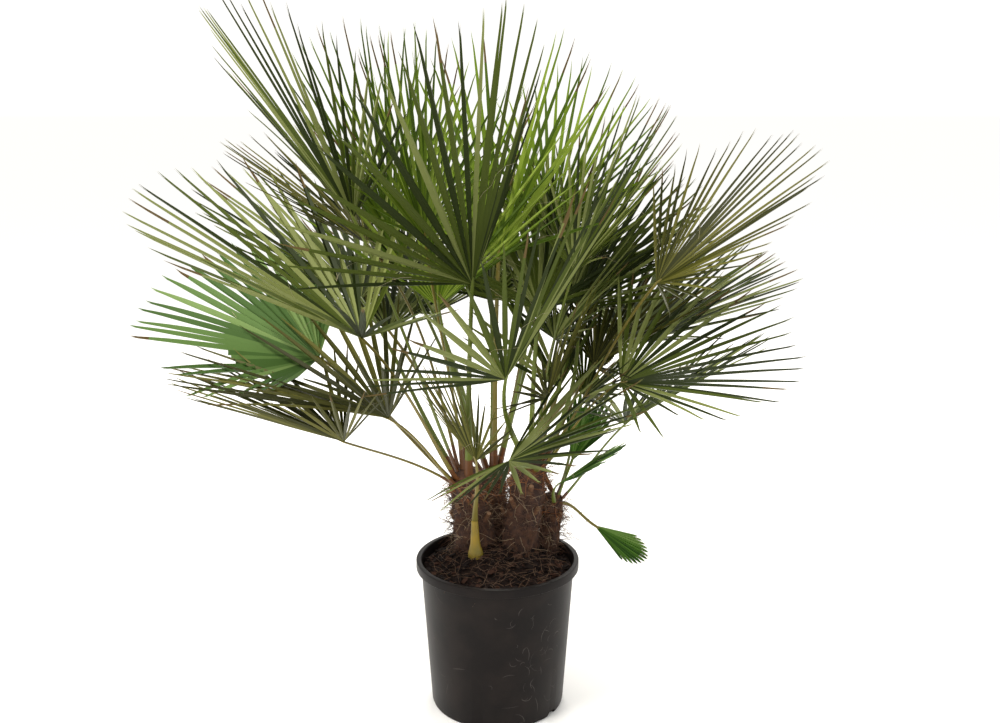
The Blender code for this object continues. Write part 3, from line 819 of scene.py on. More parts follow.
class Crown:
    """Settles all fronds among each other, in the same order and by the same tests as the solids."""

    SECTOR_FACES = ((0, 2, 3), (1, 4, 6), (1, 6, 5), (2, 3, 5, 6, 4), (0, 2, 4, 1), (0, 3, 5, 1))
    LEAFLET_FACES = (
        (2, 3, 8, 7),
        (4, 6, 9, 7),
        (6, 5, 8, 9),
        (2, 4, 7),
        (3, 5, 8),
        (7, 8, 10),
        (7, 9, 10),
        (9, 8, 10),
        (2, 3, 5, 6, 4),
    )
    SEED = 11
    LEAST_SECTORS = 4
    SIDESTEP = 0.28
    TILT = 5.0
    # For each share of a leaflet's length, the sidesteps and tilts that are tried in turn.
    LEAFLET_TRIES = (
        (1.0, ((0, 0), (1, 0), (-1, 0), (0, 1), (0, -1), (1, 1), (-1, 1), (1, -1), (-1, -1))),
        (0.8, ((0, 0), (0, 1), (0, -1))),
        (0.6, ((0, 0),)),
        (0.4, ((0, 0),)),
    )
    # A stalk's bow, as a share of its length, and the turn of its foot, tried to both sides in turn.
    STALK_TRIES = ((0.06, 8), (0.12, 16), (0.18, 24), (0.25, 34))

    def __init__(self, nodes: dict[str, bpy.types.Object]) -> None:
        """Reads the stems' solids.

        Args:
            nodes: the frame's nodes.
        """
        self.occupied = Occupied()
        self.bodies: dict[str, StemSurface] = {}
        for stem in STEMS:
            mesh = nodes[stem.name].data
            points = [vertex.co.copy() for vertex in mesh.vertices]
            faces = [tuple(polygon.vertices) for polygon in mesh.polygons]
            surface = BVHTree.FromPolygons(points, faces)
            self.bodies[stem.name] = StemSurface(Vector(stem.crown), surface, stem.crown_radius)
            self.occupied.add(stem.name, points, faces)

    def grow(self) -> list[GrownFrond]:
        """Lays stalks, then blades, then leaflets.

        Returns:
            The fronds that found a place.
        """
        chance = random.Random(self.SEED)
        fronds = [*SHOWN_FRONDS, *(frond for row in BACK_ROWS for frond in row.fronds(chance))]
        blades = [Blade(frond, self.bodies[frond.stem].crown) for frond in fronds]
        stalked = [(blade, stalk) for blade in blades if (stalk := self.lay_stalk(blade))]
        grown = []
        for blade, stalk in stalked:
            if run := self.lay_sectors(blade):
                grown.append(GrownFrond(blade, stalk, run))
        for frond in grown:
            self.lay_leaflets(frond)
        return grown

    def lay_stalk(self, blade: Blade) -> Stalk | None:
        """Finds a clear route for a stalk.

        Args:
            blade: the blade that it carries.

        Returns:
            The first route that touches nothing, or None.
        """
        name = blade.frond.name
        around = self.occupied.others(name)
        stalks = self.occupied.others(name, self.bodies)
        faces = tube_faces(len(Stalk.STATIONS), Stalk.SIDES)
        free_faces = tube_faces(len(Stalk.STATIONS) - 1, Stalk.SIDES)
        bent = [(side * bow, side * turn) for bow, turn in self.STALK_TRIES for side in (1, -1)]
        for bow, turn in ((0.0, 0), *bent):
            stalk = Stalk(blade, self.bodies[blade.frond.stem], bow, turn)
            points = stalk.points(LEAST_CLEAR)
            past_foot = BVHTree.FromPolygons(points[Stalk.SIDES :], free_faces)
            whole = BVHTree.FromPolygons(points, faces)
            if not around.overlap(past_foot) and not stalks.overlap(whole):
                self.occupied.add(name, stalk.points(), faces)
                return stalk
        return None

    def lay_sectors(self, blade: Blade) -> range | None:
        """Finds the run of undivided blade that is clear, from the middle outwards.

        Args:
            blade: the blade.

        Returns:
            The numbers of its leaflets, or None where too few are clear.
        """
        name, count = blade.frond.name, blade.frond.leaflets
        around = self.occupied.others(name)
        clear = [
            not around.overlap(BVHTree.FromPolygons(blade.sector(index, LEAST_CLEAR), self.SECTOR_FACES))
            for index in range(count)
        ]
        first, last = count // 2, count // 2 - 1
        while first > 0 and clear[first - 1]:
            first -= 1
        while last + 1 < count and clear[last + 1]:
            last += 1
        if last + 1 - first < min(self.LEAST_SECTORS, count):
            return None
        for index in range(first, last + 1):
            self.occupied.add(name, blade.sector(index), self.SECTOR_FACES)
        return range(first, last + 1)

    def lay_leaflets(self, frond: GrownFrond) -> None:
        """Settles the first way in which each leaflet clears everything else.

        Args:
            frond: the frond, whose leaflets with no clear way get none.
        """
        blade, name = frond.blade, frond.blade.frond.name
        around = self.occupied.others(name)
        ways = [
            (turn * self.SIDESTEP, lift * self.TILT, share)
            for share, steps in self.LEAFLET_TRIES
            for turn, lift in steps
        ]
        for index in frond.sectors:
            root = blade.sector(index, LEAST_CLEAR)
            for way in ways:
                free = blade.leaflet(index, *way, grow=LEAST_CLEAR)
                if not around.overlap(BVHTree.FromPolygons(root + free, self.LEAFLET_FACES)):
                    frond.ways[index] = way
                    solid = blade.sector(index) + blade.leaflet(index, *way)
                    self.occupied.add(name, solid, self.LEAFLET_FACES)
                    break


@dataclass(frozen=True)
class FreeLeaflet:
    """The free part of a drawn leaflet, past the web that joins it to its neighbours.

    Args:
        start: where it leaves the web.
        aim: direction along it.
        across: direction across it.
        normal: direction out of its upper face.
        length: its length.
        web_half: half its width where it leaves the web.
        full_half: half its width farther out.
        sag: its droop as a share of the usual one.
    """

    start: Vector
    aim: Vector
    across: Vector
    normal: Vector
    length: float
    web_half: float
    full_half: float
    sag: float

    FOLD = 0.84
    STEPS = 9
    FORK = 0.90
    FORK_GAP = 0.0025
    DROOP = 0.035
    OPENING = 5
    TAPER_POWER = 0.75
    TAPER_SHARE = 0.90
    BELLY_POWER = 0.8
    BELLY_SHARE = 0.34
    TIP_FOLD = 0.35

    def middle(self, along: float) -> Vector:
        """Point on its drooping middle line at a share of its length."""
        drop = self.DROOP * self.sag * self.length * along * along
        return self.start + self.aim * (self.length * along) - UP * drop

    def row(self, along: float) -> tuple[Vector, Vector, Vector]:
        """Its section.

        Args:
            along: share of its length.

        Returns:
            Left edge, keel and right edge.
        """
        taper = (1 - along) ** self.TAPER_POWER
        belly = math.sin(math.pi * along) ** self.BELLY_POWER
        opened = self.web_half + (self.full_half - self.web_half) * min(1.0, self.OPENING * along)
        side = self.across * (opened * (self.TAPER_SHARE * taper + self.BELLY_SHARE * belly))
        deep = self.normal * (self.FOLD * opened * (self.TIP_FOLD + (1 - self.TIP_FOLD) * taper))
        middle = self.middle(along)
        return middle - side, middle - deep, middle + side

    def rows(self) -> list[tuple[Vector, Vector, Vector]]:
        """Sections from just past the web to the fork."""
        return [self.row(self.FORK * step / self.STEPS) for step in range(1, self.STEPS + 1)]

    def draw_fork(self, buffer: MeshBuffer) -> None:
        """Draws the two hair-fine points of the tip.

        Args:
            buffer: where they are drawn.
        """
        left, keel, right = self.row(self.FORK)
        for side, edge in ((-1, left), (1, right)):
            point = self.middle(1.0) + self.across * (side * self.FORK_GAP)
            buffer.add([edge, keel, point], [(0, 1, 2)])


@dataclass
class Foliage:
    """Draws all fronds with finer leaflets, brown tips, loose threads and stalks with spines."""

    seed: int = 5
    fineness: float = 1.4
    young_fineness: float = 2.2
    # Weights of the dark, middle and light copies of a leaflet's colour, which are painted shade and painted
    # light.
    lit_and_shaded_weights: tuple[int, ...] = (4, 4, 3)
    most_tilt: float = 2.5
    least_length: float = 0.93
    least_sag: float = 0.3
    limp_share: float = 0.16
    limp_droop: float = 3.2
    brown_share: float = 0.22
    webbed_split: float = 0.4
    deeper_split: float = 0.60
    web_shares: tuple[float, ...] = (0.01, 0.4, 0.75, 1.0)
    young_point: float = 0.30
    young_power: float = 1.5
    olive_share: float = 0.35
    stalk_sides: int = 8
    stalk_stride: int = 2
    stalk_flat: float = 0.45
    swell_power: int = 4
    wide_swell: float = 0.55
    wide_taper: float = 0.18
    deep_swell: float = 0.30
    deep_taper: float = 0.20
    hub_length: float = 0.014
    hub_wide: float = 0.20
    hub_deep: float = 0.15
    base_share: float = 0.11
    spine_gap: float = 0.017
    spine_length: float = 0.006
    spine_lengths: Span = (0.6, 1.1)
    spine_thick: float = 0.0011
    spine_lean: float = 0.7
    spine_root: float = 0.42
    spine_missing: float = 0.2
    spine_jitter: float = 0.6
    first_spine: float = 0.14
    spine_run: float = 0.8
    threads: int = 4
    thread_lift: float = 0.001
    thread_stray: float = 0.6
    thread_lengths: Span = (0.05, 0.13)
    thread_radius: float = 0.00045
    leaves: dict[tuple[Tone, int], MeshBuffer] = field(default_factory=dict)
    stalks: dict[str, MeshBuffer] = field(default_factory=dict)
    tips: MeshBuffer = field(default_factory=MeshBuffer)
    hairs: MeshBuffer = field(default_factory=MeshBuffer)

    # Each family has a dark, a middle and a light copy of its colour, dealt to the leaflets at random:
    # painted shade and painted light for the shaded and lit faces of the folded leaflets.
    COLOURS = {
        Tone.LEAF: ((0.018, 0.028, 0.003), (0.055, 0.076, 0.008), (0.165, 0.190, 0.055)),
        # Painted back-light: the lit fronds' colours are lightened and yellowed for light shining through the
        # leaves.
        Tone.BRIGHT: ((0.060, 0.105, 0.007), (0.125, 0.195, 0.013), (0.210, 0.290, 0.035)),
        Tone.PALE: ((0.060, 0.120, 0.028), (0.105, 0.185, 0.050), (0.175, 0.265, 0.085)),
        Tone.DULL: ((0.030, 0.033, 0.004), (0.062, 0.063, 0.009), (0.115, 0.112, 0.022)),
        Tone.YOUNG: ((0.026, 0.075, 0.008), (0.060, 0.140, 0.016), (0.130, 0.230, 0.050)),
    }
    STALK_COLOURS = {
        "stalks_green": (0.115, 0.150, 0.018),
        "stalks_olive": (0.160, 0.130, 0.020),
        "stalk_bases": (0.120, 0.045, 0.012),
        "spines": (0.200, 0.125, 0.035),
    }

    def leaflet(self, frond: GrownFrond, position: float, half: float, chance: random.Random) -> None:
        """Draws one folded leaflet from the hub to its forked tip.

        Args:
            frond: the settled frond.
            position: the leaflet's middle, counted in leaflets of the solid.
            half: half its spacing, counted in leaflets of the solid.
            chance: the frond's random numbers.
        """
        blade = frond.blade
        # Deals one of the dark, middle and light copies of the colour: painted shade and painted light.
        shade = chance.choices(range(len(self.lit_and_shaded_weights)), weights=self.lit_and_shaded_weights)[0]
        tilt, trim = chance.uniform(-self.most_tilt, self.most_tilt), chance.uniform(self.least_length, 1.0)
        sag, browned = chance.uniform(self.least_sag, 1.0), chance.random() < self.brown_share
        if chance.random() < self.limp_share:
            sag *= self.limp_droop
        angle = blade.angle(position)
        left, right = blade.angle(position - half), blade.angle(position + half)
        split = blade.split(angle) * (self.deeper_split if blade.frond.split < self.webbed_split else 1.0)
        upper = blade.frame(angle)[2]
        half_turn = math.tan(math.radians(0.5 * (right - left)))
        rows = []
        for share in self.web_shares:
            edges = [blade.hub + blade.ray(side) * (split * share) for side in (left, angle, right)]
            edges[1] -= upper * (FreeLeaflet.FOLD * split * half_turn * share)
            rows.append(edges)
        leaf = self.leaves.setdefault((blade.frond.tone, shade), MeshBuffer())
        index = min(max(int(position), frond.sectors[0]), frond.sectors[-1])
        if index not in frond.ways:
            leaf.add([point for row in rows for point in row], fold_faces(len(rows)))
            return
        turn, lift, share = frond.ways[index]
        start = blade.hub + blade.ray(angle) * split
        length = (blade.reach(angle) - split) * share * trim
        if blade.frond.tone is Tone.YOUNG:
            length *= 1 - self.young_point * abs(2 * angle / blade.frond.spread) ** self.young_power
        widths = (split * half_turn, blade.split(angle) * half_turn)
        free = FreeLeaflet(start, *blade.aim(angle, turn, lift + tilt), length, *widths, sag)
        points = [point for row in (*rows, *free.rows()) for point in row]
        if browned:
            self.tips.add(points[-6:], fold_faces(2))
            points = points[:-3]
        leaf.add(points, fold_faces(len(points) // 3))
        free.draw_fork(self.tips if browned else leaf)

    def stalk(self, frond: GrownFrond, chance: random.Random) -> None:
        """Draws one stalk with its browner base and its two rows of spines.

        Args:
            frond: the settled frond.
            chance: the frond's random numbers.
        """
        stalk = frond.stalk
        olive = frond.blade.frond.tone is Tone.DULL or chance.random() < self.olive_share
        rings = []
        for place in range(0, Stalk.STEPS + 1, self.stalk_stride):
            share = place / Stalk.STEPS
            centre, _, across, upper = stalk.section(place)
            swell = (1 - share) ** self.swell_power
            wide = 0.5 * Stalk.WIDTH * (1 + self.wide_swell * swell - self.wide_taper * share)
            deep = 0.5 * Stalk.THICKNESS * (1 + self.deep_swell * swell - self.deep_taper * share)
            halves = (across * (wide * stalk.scale), upper * (deep * stalk.scale))
            rings.append(oval(centre, *halves, self.stalk_sides, self.stalk_flat))
        hub, _, across, upper = stalk.section(Stalk.STEPS)
        end = hub + frond.blade.axis * self.hub_length
        wide, deep = across * (self.hub_wide * Stalk.WIDTH), upper * (self.hub_deep * Stalk.THICKNESS)
        rings.append(oval(end, wide, deep, self.stalk_sides))
        cut = max(2, round(self.base_share * len(rings)))
        base = "stalks_olive" if frond.blade.frond.stem == "shoot_front" else "stalk_bases"
        rest = "stalks_olive" if olive else "stalks_green"
        for name, some in ((base, rings[: cut + 1]), (rest, rings[cut:])):
            points = [point for ring in some for point in ring]
            self.stalks.setdefault(name, MeshBuffer()).add(points, tube_faces(len(some), self.stalk_sides))
        self.spines(stalk, chance)

    def spines(self, stalk: Stalk, chance: random.Random) -> None:
        """Draws small forward thorns along both edges of a stalk.

        Args:
            stalk: the stalk.
            chance: the frond's random numbers.
        """
        buffer = self.stalks.setdefault("spines", MeshBuffer())
        length = sum((after - before).length for before, after in zip(stalk.route, stalk.route[1:]))
        count = int(self.spine_run * length / self.spine_gap)
        for index in range(count):
            share = (index + chance.random() * self.spine_jitter) / count
            place = round(Stalk.STEPS * (self.first_spine + self.spine_run * share))
            centre, along, across, upper = stalk.section(min(place, Stalk.STEPS - 1))
            for side in (-1, 1):
                if chance.random() < self.spine_missing:
                    continue
                root = centre + across * (side * self.spine_root * Stalk.WIDTH * stalk.scale)
                lean = (across * side + along * self.spine_lean).normalized()
                tip = root + lean * (self.spine_length * chance.uniform(*self.spine_lengths))
                ahead, above = along * self.spine_thick, upper * self.spine_thick
                buffer.add([root + ahead, root - ahead, root + above, tip], [(0, 1, 3), (1, 2, 3), (2, 0, 3)])

    def draw(self, frond: GrownFrond) -> None:
        """Draws one frond.

        Args:
            frond: the settled frond.
        """
        blade = frond.blade
        chance = random.Random(f"{self.seed} {blade.frond.name}")
        first, count = frond.sectors[0], len(frond.sectors)
        finer = round(count * (self.young_fineness if blade.frond.tone is Tone.YOUNG else self.fineness))
        half = 0.5 * count / finer
        for index in range(finer):
            self.leaflet(frond, first + (2 * index + 1) * half, half, chance)
        self.stalk(frond, chance)
        for _ in range(self.threads):
            position = chance.uniform(first, first + count)
            start = blade.split_point(position, self.thread_lift)
            aim = blade.ray(blade.angle(position)) + direction(chance.uniform(0, 360), 0) * self.thread_stray
            strand(start, aim, chance.uniform(*self.thread_lengths), self.thread_radius, self.hairs, chance)

    def build(self, grown: Sequence[GrownFrond]) -> None:
        """Draws every frond and joins each kind apart.

        Args:
            grown: the settled fronds.
        """
        nodes: dict[Tone, list[str]] = {}
        for frond in grown:
            self.draw(frond)
            nodes.setdefault(frond.blade.frond.tone, []).append(frond.blade.frond.name)
        self.hairs.make("leaf_threads", Finish("thread", (0.330, 0.290, 0.170), 0.7), "frond", Shading.SKIN)
        for tone in sorted(nodes, key=lambda tone: tone.value):
            slot = "young_frond" if tone is Tone.YOUNG else "frond"
            # One piece for each of the dark, middle and light copies, which paint shade and light on the
            # leaflets.
            for shade, colour in enumerate(self.COLOURS[tone]):
                finish = Finish(f"leaf_{tone.value}_{shade + 1}", colour, 0.52, specular=0.14)
                name = f"leaflets_{tone.value}_{shade + 1}"
                piece = self.leaves[tone, shade].make(name, finish, slot, Shading.LEAF)
                if shade == 0:
                    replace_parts(piece, *nodes[tone])
        brown = Finish("leaf_tip_brown", (0.105, 0.072, 0.026), 0.6, specular=0.1)
        self.tips.make("leaflet_tips_brown", brown, "frond", Shading.LEAF)
        for name, buffer in self.stalks.items():
            buffer.make(name, Finish(name, self.STALK_COLOURS[name], 0.45), "frond", Shading.STALK)


@dataclass(frozen=True)
class SoilSurface:
    """The height of the soil at each place, by the solids' rule.

    Args:
        middle: how far behind the pot's middle the mound's top is.
        radius: radius of the mound.
        edge_height: height of its edge.
        mound: rise of its top over the edge.
        mound_power: how broad its top is.
        lump: height of the lumps.
        coarse: waves in radians for a metre, with their starts, to the right and to the back.
        fine: share of a slanting finer wave, and its radians for a metre to the right and to the back.
    """

    middle: float = 0.03
    radius: float = 0.15
    edge_height: float = 0.318
    mound: float = 0.030
    mound_power: float = 1.6
    lump: float = 0.004
    coarse: tuple[Span, Span] = ((61.0, 1.3), (53.0, 0.4))
    fine: tuple[float, float, float] = (0.6, 117.0, -71.0)

    def height(self, x: float, y: float) -> float:
        """Height of a low mound with lumps that falls to an even edge.

        Args:
            x: place to the right.
            y: place to the back.

        Returns:
            Height above the pot's underside.
        """
        outward = min(1.0, math.hypot(x, y - self.middle) / self.radius)
        mound = 0.5 + 0.5 * math.cos(math.pi * outward**self.mound_power)
        (right, right_start), (back, back_start) = self.coarse
        share, slant_right, slant_back = self.fine
        lumps = math.sin(right * x + right_start) * math.sin(back * y + back_start)
        lumps += share * math.sin(slant_right * x + slant_back * y)
        return self.edge_height + self.mound * mound + self.lump * lumps * (1 - outward**4)


SOIL = SoilSurface()


@dataclass
class Trunks:
    """The stems with the relief of their bark, old leaf stubs and loose fibre."""

    sunk: float = 0.014
    sides: int = 60
    rings: int = 70
    dome_from: float = 0.92
    dome_height: float = 0.8
    dome_tip: float = 0.02
    relief: float = 0.0035
    fibre_scale: Place = (9.0, 14.0, 50.0)
    fibre_relief: float = 0.9
    course_relief: float = 1.1
    mean_relief: float = 0.4
    course_turns: float = 2.5
    course_pitch: float = 58.0
    relief_fades_at: float = 0.020
    shoot_relief: float = 0.15
    shoot_taper: float = 0.0035
    bulb: float = 0.004
    bulb_place: float = 0.2
    bulb_run: float = 0.16
    stub_length: float = 0.042
    stub_width: float = 0.016
    stub_thickness: float = 0.010
    stub_sunk: float = 0.35
    stub_rise: float = 58.0
    stub_sides: int = 10
    stub_rings: tuple[Span, ...] = ((0.0, 1.3), (0.35, 1.1), (0.7, 0.85), (0.97, 0.75), (1.0, 0.68))
    stub_step: float = 137.5
    first_stub: float = 40.0
    stub_from: float = 0.25
    stub_run: float = 0.5
    cut_lift: float = 0.0004
    strands: int = 620
    strand_length: float = 0.055
    strand_radius: float = 0.0007
    strand_crowding: float = 0.65
    strand_sunk: float = 0.98
    strand_lengths: Span = (0.4, 1.1)
    strand_outward: Span = (0.2, 0.8)
    strand_upward: Span = (-0.5, 1.0)
    pale_share: float = 0.2
    crown_from: float = 0.8
    crown_share: float = 0.6
    bark: MeshBuffer = field(default_factory=MeshBuffer)
    stub_wood: MeshBuffer = field(default_factory=MeshBuffer)
    cuts: MeshBuffer = field(default_factory=MeshBuffer)
    fibres: MeshBuffer = field(default_factory=MeshBuffer)
    pale_fibres: MeshBuffer = field(default_factory=MeshBuffer)
    crown_fibres: MeshBuffer = field(default_factory=MeshBuffer)
    young_shoot: MeshBuffer = field(default_factory=MeshBuffer)

    def place(self, stem: Stem, share: float) -> tuple[Vector, float]:
        """Where a stem is at a share of its height.

        Args:
            stem: the stem.
            share: share of its height.

        Returns:
            Its centre and its radius.
        """
        bottom = SOIL.height(*stem.foot) - self.sunk
        ease = share * share * (3 - 2 * share)
        foot, crown = Vector((*stem.foot, bottom)), Vector(stem.crown)
        centre = foot.lerp(crown, ease)
        centre.z = bottom + (stem.crown[2] - bottom) * share
        return centre, stem.crown_radius + (stem.foot_radius - stem.crown_radius) * (1 - share) ** 2

    def skin(self, stem: Stem) -> None:
        """Draws a stem's skin: wrapped leaf bases in slanting courses under vertical fibre.

        Args:
            stem: the stem.
        """
        points = []
        for ring in range(self.rings + 1):
            share = ring / self.rings
            centre, radius = self.place(stem, min(share / self.dome_from, 1.0))
            if share > self.dome_from:
                dome = 0.5 * math.pi * (share - self.dome_from) / (1 - self.dome_from)
                centre = centre + UP * (self.dome_height * stem.crown_radius * math.sin(dome))
                radius *= max(self.dome_tip, math.cos(dome))
            for turn in turns_of(self.sides):
                fibre = noise.noise(Vector((turn, centre.z, stem.foot[0])) * Vector(self.fibre_scale))
                across, up = self.course_turns * turn, self.course_pitch * centre.z
                course = abs(math.sin(across + up) * math.sin(across - up))
                lift = self.fibre_relief * fibre + self.course_relief * course - self.mean_relief
                lift *= self.relief * min(1.0, radius / self.relief_fades_at)
                if not stem.stubs:
                    bulb = self.bulb * math.exp(-(((share - self.bulb_place) / self.bulb_run) ** 2))
                    lift = self.shoot_relief * lift + bulb - self.shoot_taper * share
                points.append(centre + at_turn(turn) * (radius + lift))
        (self.bark if stem.stubs else self.young_shoot).add(points, tube_faces(self.rings + 1, self.sides))

    def stub(self, stem: Stem, index: int) -> None:
        """Draws the cut foot of an old leaf, with a paler cut face.

        Args:
            stem: the stem.
            index: number of the stub.
        """
        centre, radius = self.place(stem, self.stub_from + self.stub_run * (index + 0.5) / stem.stubs)
        azimuth = self.stub_step * index + self.first_stub
        out, aim = direction(azimuth, 0), direction(azimuth, self.stub_rise)
        across = UP.cross(out)
        root = centre + out * (radius - self.stub_sunk * self.stub_length)
        deep = aim.cross(across) * (0.5 * self.stub_thickness)
        half = 0.5 * self.stub_width * stem.crown_radius / STEMS[0].crown_radius
        points: list[Vector] = []
        for along, widen in self.stub_rings:
            middle = root + aim * (along * self.stub_length)
            points += oval(middle, across * (half * widen), deep, self.stub_sides)
        self.stub_wood.add(points, tube_faces(len(self.stub_rings), self.stub_sides))
        end = [point + aim * self.cut_lift for point in points[-self.stub_sides :]]
        self.cuts.add(end, [range(self.stub_sides)])

    def fibre(self, stem: Stem, chance: random.Random) -> None:
        """Draws loose fibre all over one stem, more of it near the crown.

        Args:
            stem: the stem.
            chance: its random numbers.
        """
        for _ in range(int(self.strands * stem.crown_radius / STEMS[0].crown_radius)):
            share, turn = chance.random() ** self.strand_crowding, chance.uniform(0, math.tau)
            centre, radius = self.place(stem, share)
            out = at_turn(turn)
            aim = out * chance.uniform(*self.strand_outward) + UP * chance.uniform(*self.strand_upward)
            aim += UP.cross(out) * chance.uniform(-1, 1)
            pick = chance.random()
            buffer = self.pale_fibres if pick < self.pale_share else self.fibres
            if share > self.crown_from and pick > 1 - self.crown_share:
                buffer = self.crown_fibres
            root, length = centre + out * (radius * self.strand_sunk), chance.uniform(*self.strand_lengths)
            strand(root, aim, self.strand_length * length, self.strand_radius, buffer, chance)

    def build(self) -> None:
        """Draws all stems and joins each kind apart."""
        for stem in STEMS:
            self.skin(stem)
            for index in range(stem.stubs):
                self.stub(stem, index)
            if stem.stubs:
                self.fibre(stem, random.Random(f"bark {stem.name}"))
        maroon, rust = (0.034, 0.015, 0.010), (0.110, 0.048, 0.024)
        bark = Finish("bark", maroon, 0.9, second=rust, grain=60.0, amount=0.7, bump=0.002)
        piece = self.bark.make("stems_bark", bark, "stem", Shading.SKIN)
        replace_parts(piece, *(stem.name for stem in STEMS if stem.stubs))
        yellow, moss = (0.330, 0.215, 0.010), (0.170, 0.140, 0.012)
        shoot = Finish("young_shoot", yellow, 0.45, second=moss, grain=22.0, amount=0.7)
        piece = self.young_shoot.make("shoot_skin", shoot, "stem", Shading.SKIN)
        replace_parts(piece, *(stem.name for stem in STEMS if not stem.stubs))
        umber, tan = (0.110, 0.045, 0.020), (0.200, 0.110, 0.045)
        wood = Finish("stub_wood", umber, 0.8, second=tan, grain=90.0, bump=0.001)
        self.stub_wood.make("stem_stubs", wood, "stem", Shading.WOOD)
        self.cuts.make("stem_stub_cuts", Finish("stub_cut", (0.230, 0.130, 0.070), 0.8), "stem", Shading.WOOD)
        for buffer, name, finish in (
            (self.fibres, "stem_fibres", Finish("fibre", (0.085, 0.040, 0.022), 0.9)),
            (self.crown_fibres, "stem_fibres_crown", Finish("crown_fibre", (0.260, 0.095, 0.030), 0.85)),
            (self.pale_fibres, "stem_fibres_pale", Finish("fibre_pale", (0.330, 0.240, 0.150), 0.85)),
        ):
            buffer.make(name, finish, "stem", Shading.SKIN)


@dataclass
class Soil:
    """The potting mix: a lumpy surface with bark chips and straw over it."""

    edge_radius: float = 0.1640
    foot_radius: float = 0.1450
    foot_height: float = 0.0118
    sides: int = 96
    rings: int = 34
    crumbs: float = 0.006
    crumb_scale: float = 45.0
    crumb_slice: float = 3.0
    crumb_octaves: int = 4
    chips: int = 1500
    chip_reach: float = 0.97
    chip_least: float = 0.002
    chip_more: float = 0.009
    chip_power: float = 2.5
    chip_lift: float = 0.4
    chip_thick: float = 0.14
    chip_trim: Span = (0.75, 1.1)
    chip_rise: float = 0.5
    chip_tip: float = 0.6
    brown_share: float = 0.3
    straws: int = 260
    straw_reach: float = 0.85
    straw_lift: float = 0.006
    straw_rise: float = 0.5
    straw_lengths: Span = (0.02, 0.07)
    straw_radius: float = 0.0006

    CHIP_OUTLINE = ((-1, -0.4), (-0.1, -0.6), (0.9, -0.3), (1.0, 0.3), (0.2, 0.6), (-0.8, 0.4))

    def lump(self) -> MeshBuffer:
        """Draws the whole lump, with fine crumbs on top.

        Returns:
            Its points and faces.
        """
        points = [at_turn(turn, self.foot_radius, self.foot_height) for turn in turns_of(self.sides)]
        for ring in range(self.rings):
            for turn in turns_of(self.sides):
                point = at_turn(turn, self.edge_radius * (1 - ring / self.rings))
                grain = Vector((point.x * self.crumb_scale, point.y * self.crumb_scale, self.crumb_slice))
                crumb = self.crumbs * noise.fractal(grain, 1.0, 2.0, self.crumb_octaves)
                point.z = SOIL.height(point.x, point.y) + (crumb if ring else 0.0)
                points.append(point)
        buffer = MeshBuffer()
        buffer.add(points, tube_faces(self.rings + 1, self.sides))
        return buffer

    def on_top(self, chance: random.Random, within: float) -> Vector:
        """Picks a random place on the soil.

        Args:
            chance: the soil's random numbers.
            within: share of its radius to stay within.

        Returns:
            The point on the surface.
        """
        turn, radius = chance.uniform(0, math.tau), self.edge_radius * math.sqrt(chance.random()) * within
        point = at_turn(turn, radius)
        return Vector((point.x, point.y, SOIL.height(point.x, point.y)))

    def chip(self, chance: random.Random) -> tuple[list[Vector], list[Face]]:
        """One flat irregular piece of bark that lies on the soil.

        Args:
            chance: the soil's random numbers.

        Returns:
            Its points and its faces.
        """
        place = self.on_top(chance, self.chip_reach)
        size = self.chip_least + self.chip_more * chance.random() ** self.chip_power
        centre = place + UP * (self.chip_lift * size)
        along = drift(chance, -self.chip_rise, self.chip_rise).normalized()
        tips = [chance.uniform(-self.chip_tip, self.chip_tip) for _ in range(2)]
        tipped = UP + Vector((*tips, 0))
        side = along.cross(tipped).normalized()
        thick = along.cross(side) * (self.chip_thick * size)
        points = []
        for face in (-1, 1):
            for far, aside in self.CHIP_OUTLINE:
                trim = size * chance.uniform(*self.chip_trim)
                points.append(centre + along * (far * trim) + side * (aside * trim) + thick * face)
        return points, tube_faces(2, len(self.CHIP_OUTLINE))

    def build(self) -> None:
        """Draws the soil, its chips and its straw."""
        chance = random.Random("soil")
        dark, brown = (0.008, 0.004, 0.003), (0.034, 0.017, 0.012)
        earth = Finish("soil", dark, 0.95, second=brown, grain=120.0, amount=0.7, bump=0.004, specular=0.2)
        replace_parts(self.lump().make("soil_surface", earth, "soil", Shading.SKIN), "soil")
        dark_chips, brown_chips, straw = MeshBuffer(), MeshBuffer(), MeshBuffer()
        for _ in range(self.chips):
            (brown_chips if chance.random() < self.brown_share else dark_chips).add(*self.chip(chance))
        for _ in range(self.straws):
            start = self.on_top(chance, self.straw_reach) + UP * self.straw_lift
            aim = drift(chance, 0.0, self.straw_rise)
            strand(start, aim, chance.uniform(*self.straw_lengths), self.straw_radius, straw, chance)
        dark_chip = Finish("chip_dark", (0.011, 0.006, 0.005), 0.9, specular=0.2)
        brown_chip = Finish("chip_brown", (0.048, 0.022, 0.014), 0.9, specular=0.2)
        dark_chips.make("soil_chips_dark", dark_chip, "soil", Shading.FLAT)
        brown_chips.make("soil_chips_brown", brown_chip, "soil", Shading.FLAT)
        straw.make("soil_straw", Finish("straw", (0.120, 0.070, 0.042), 0.85), "soil", Shading.SKIN)


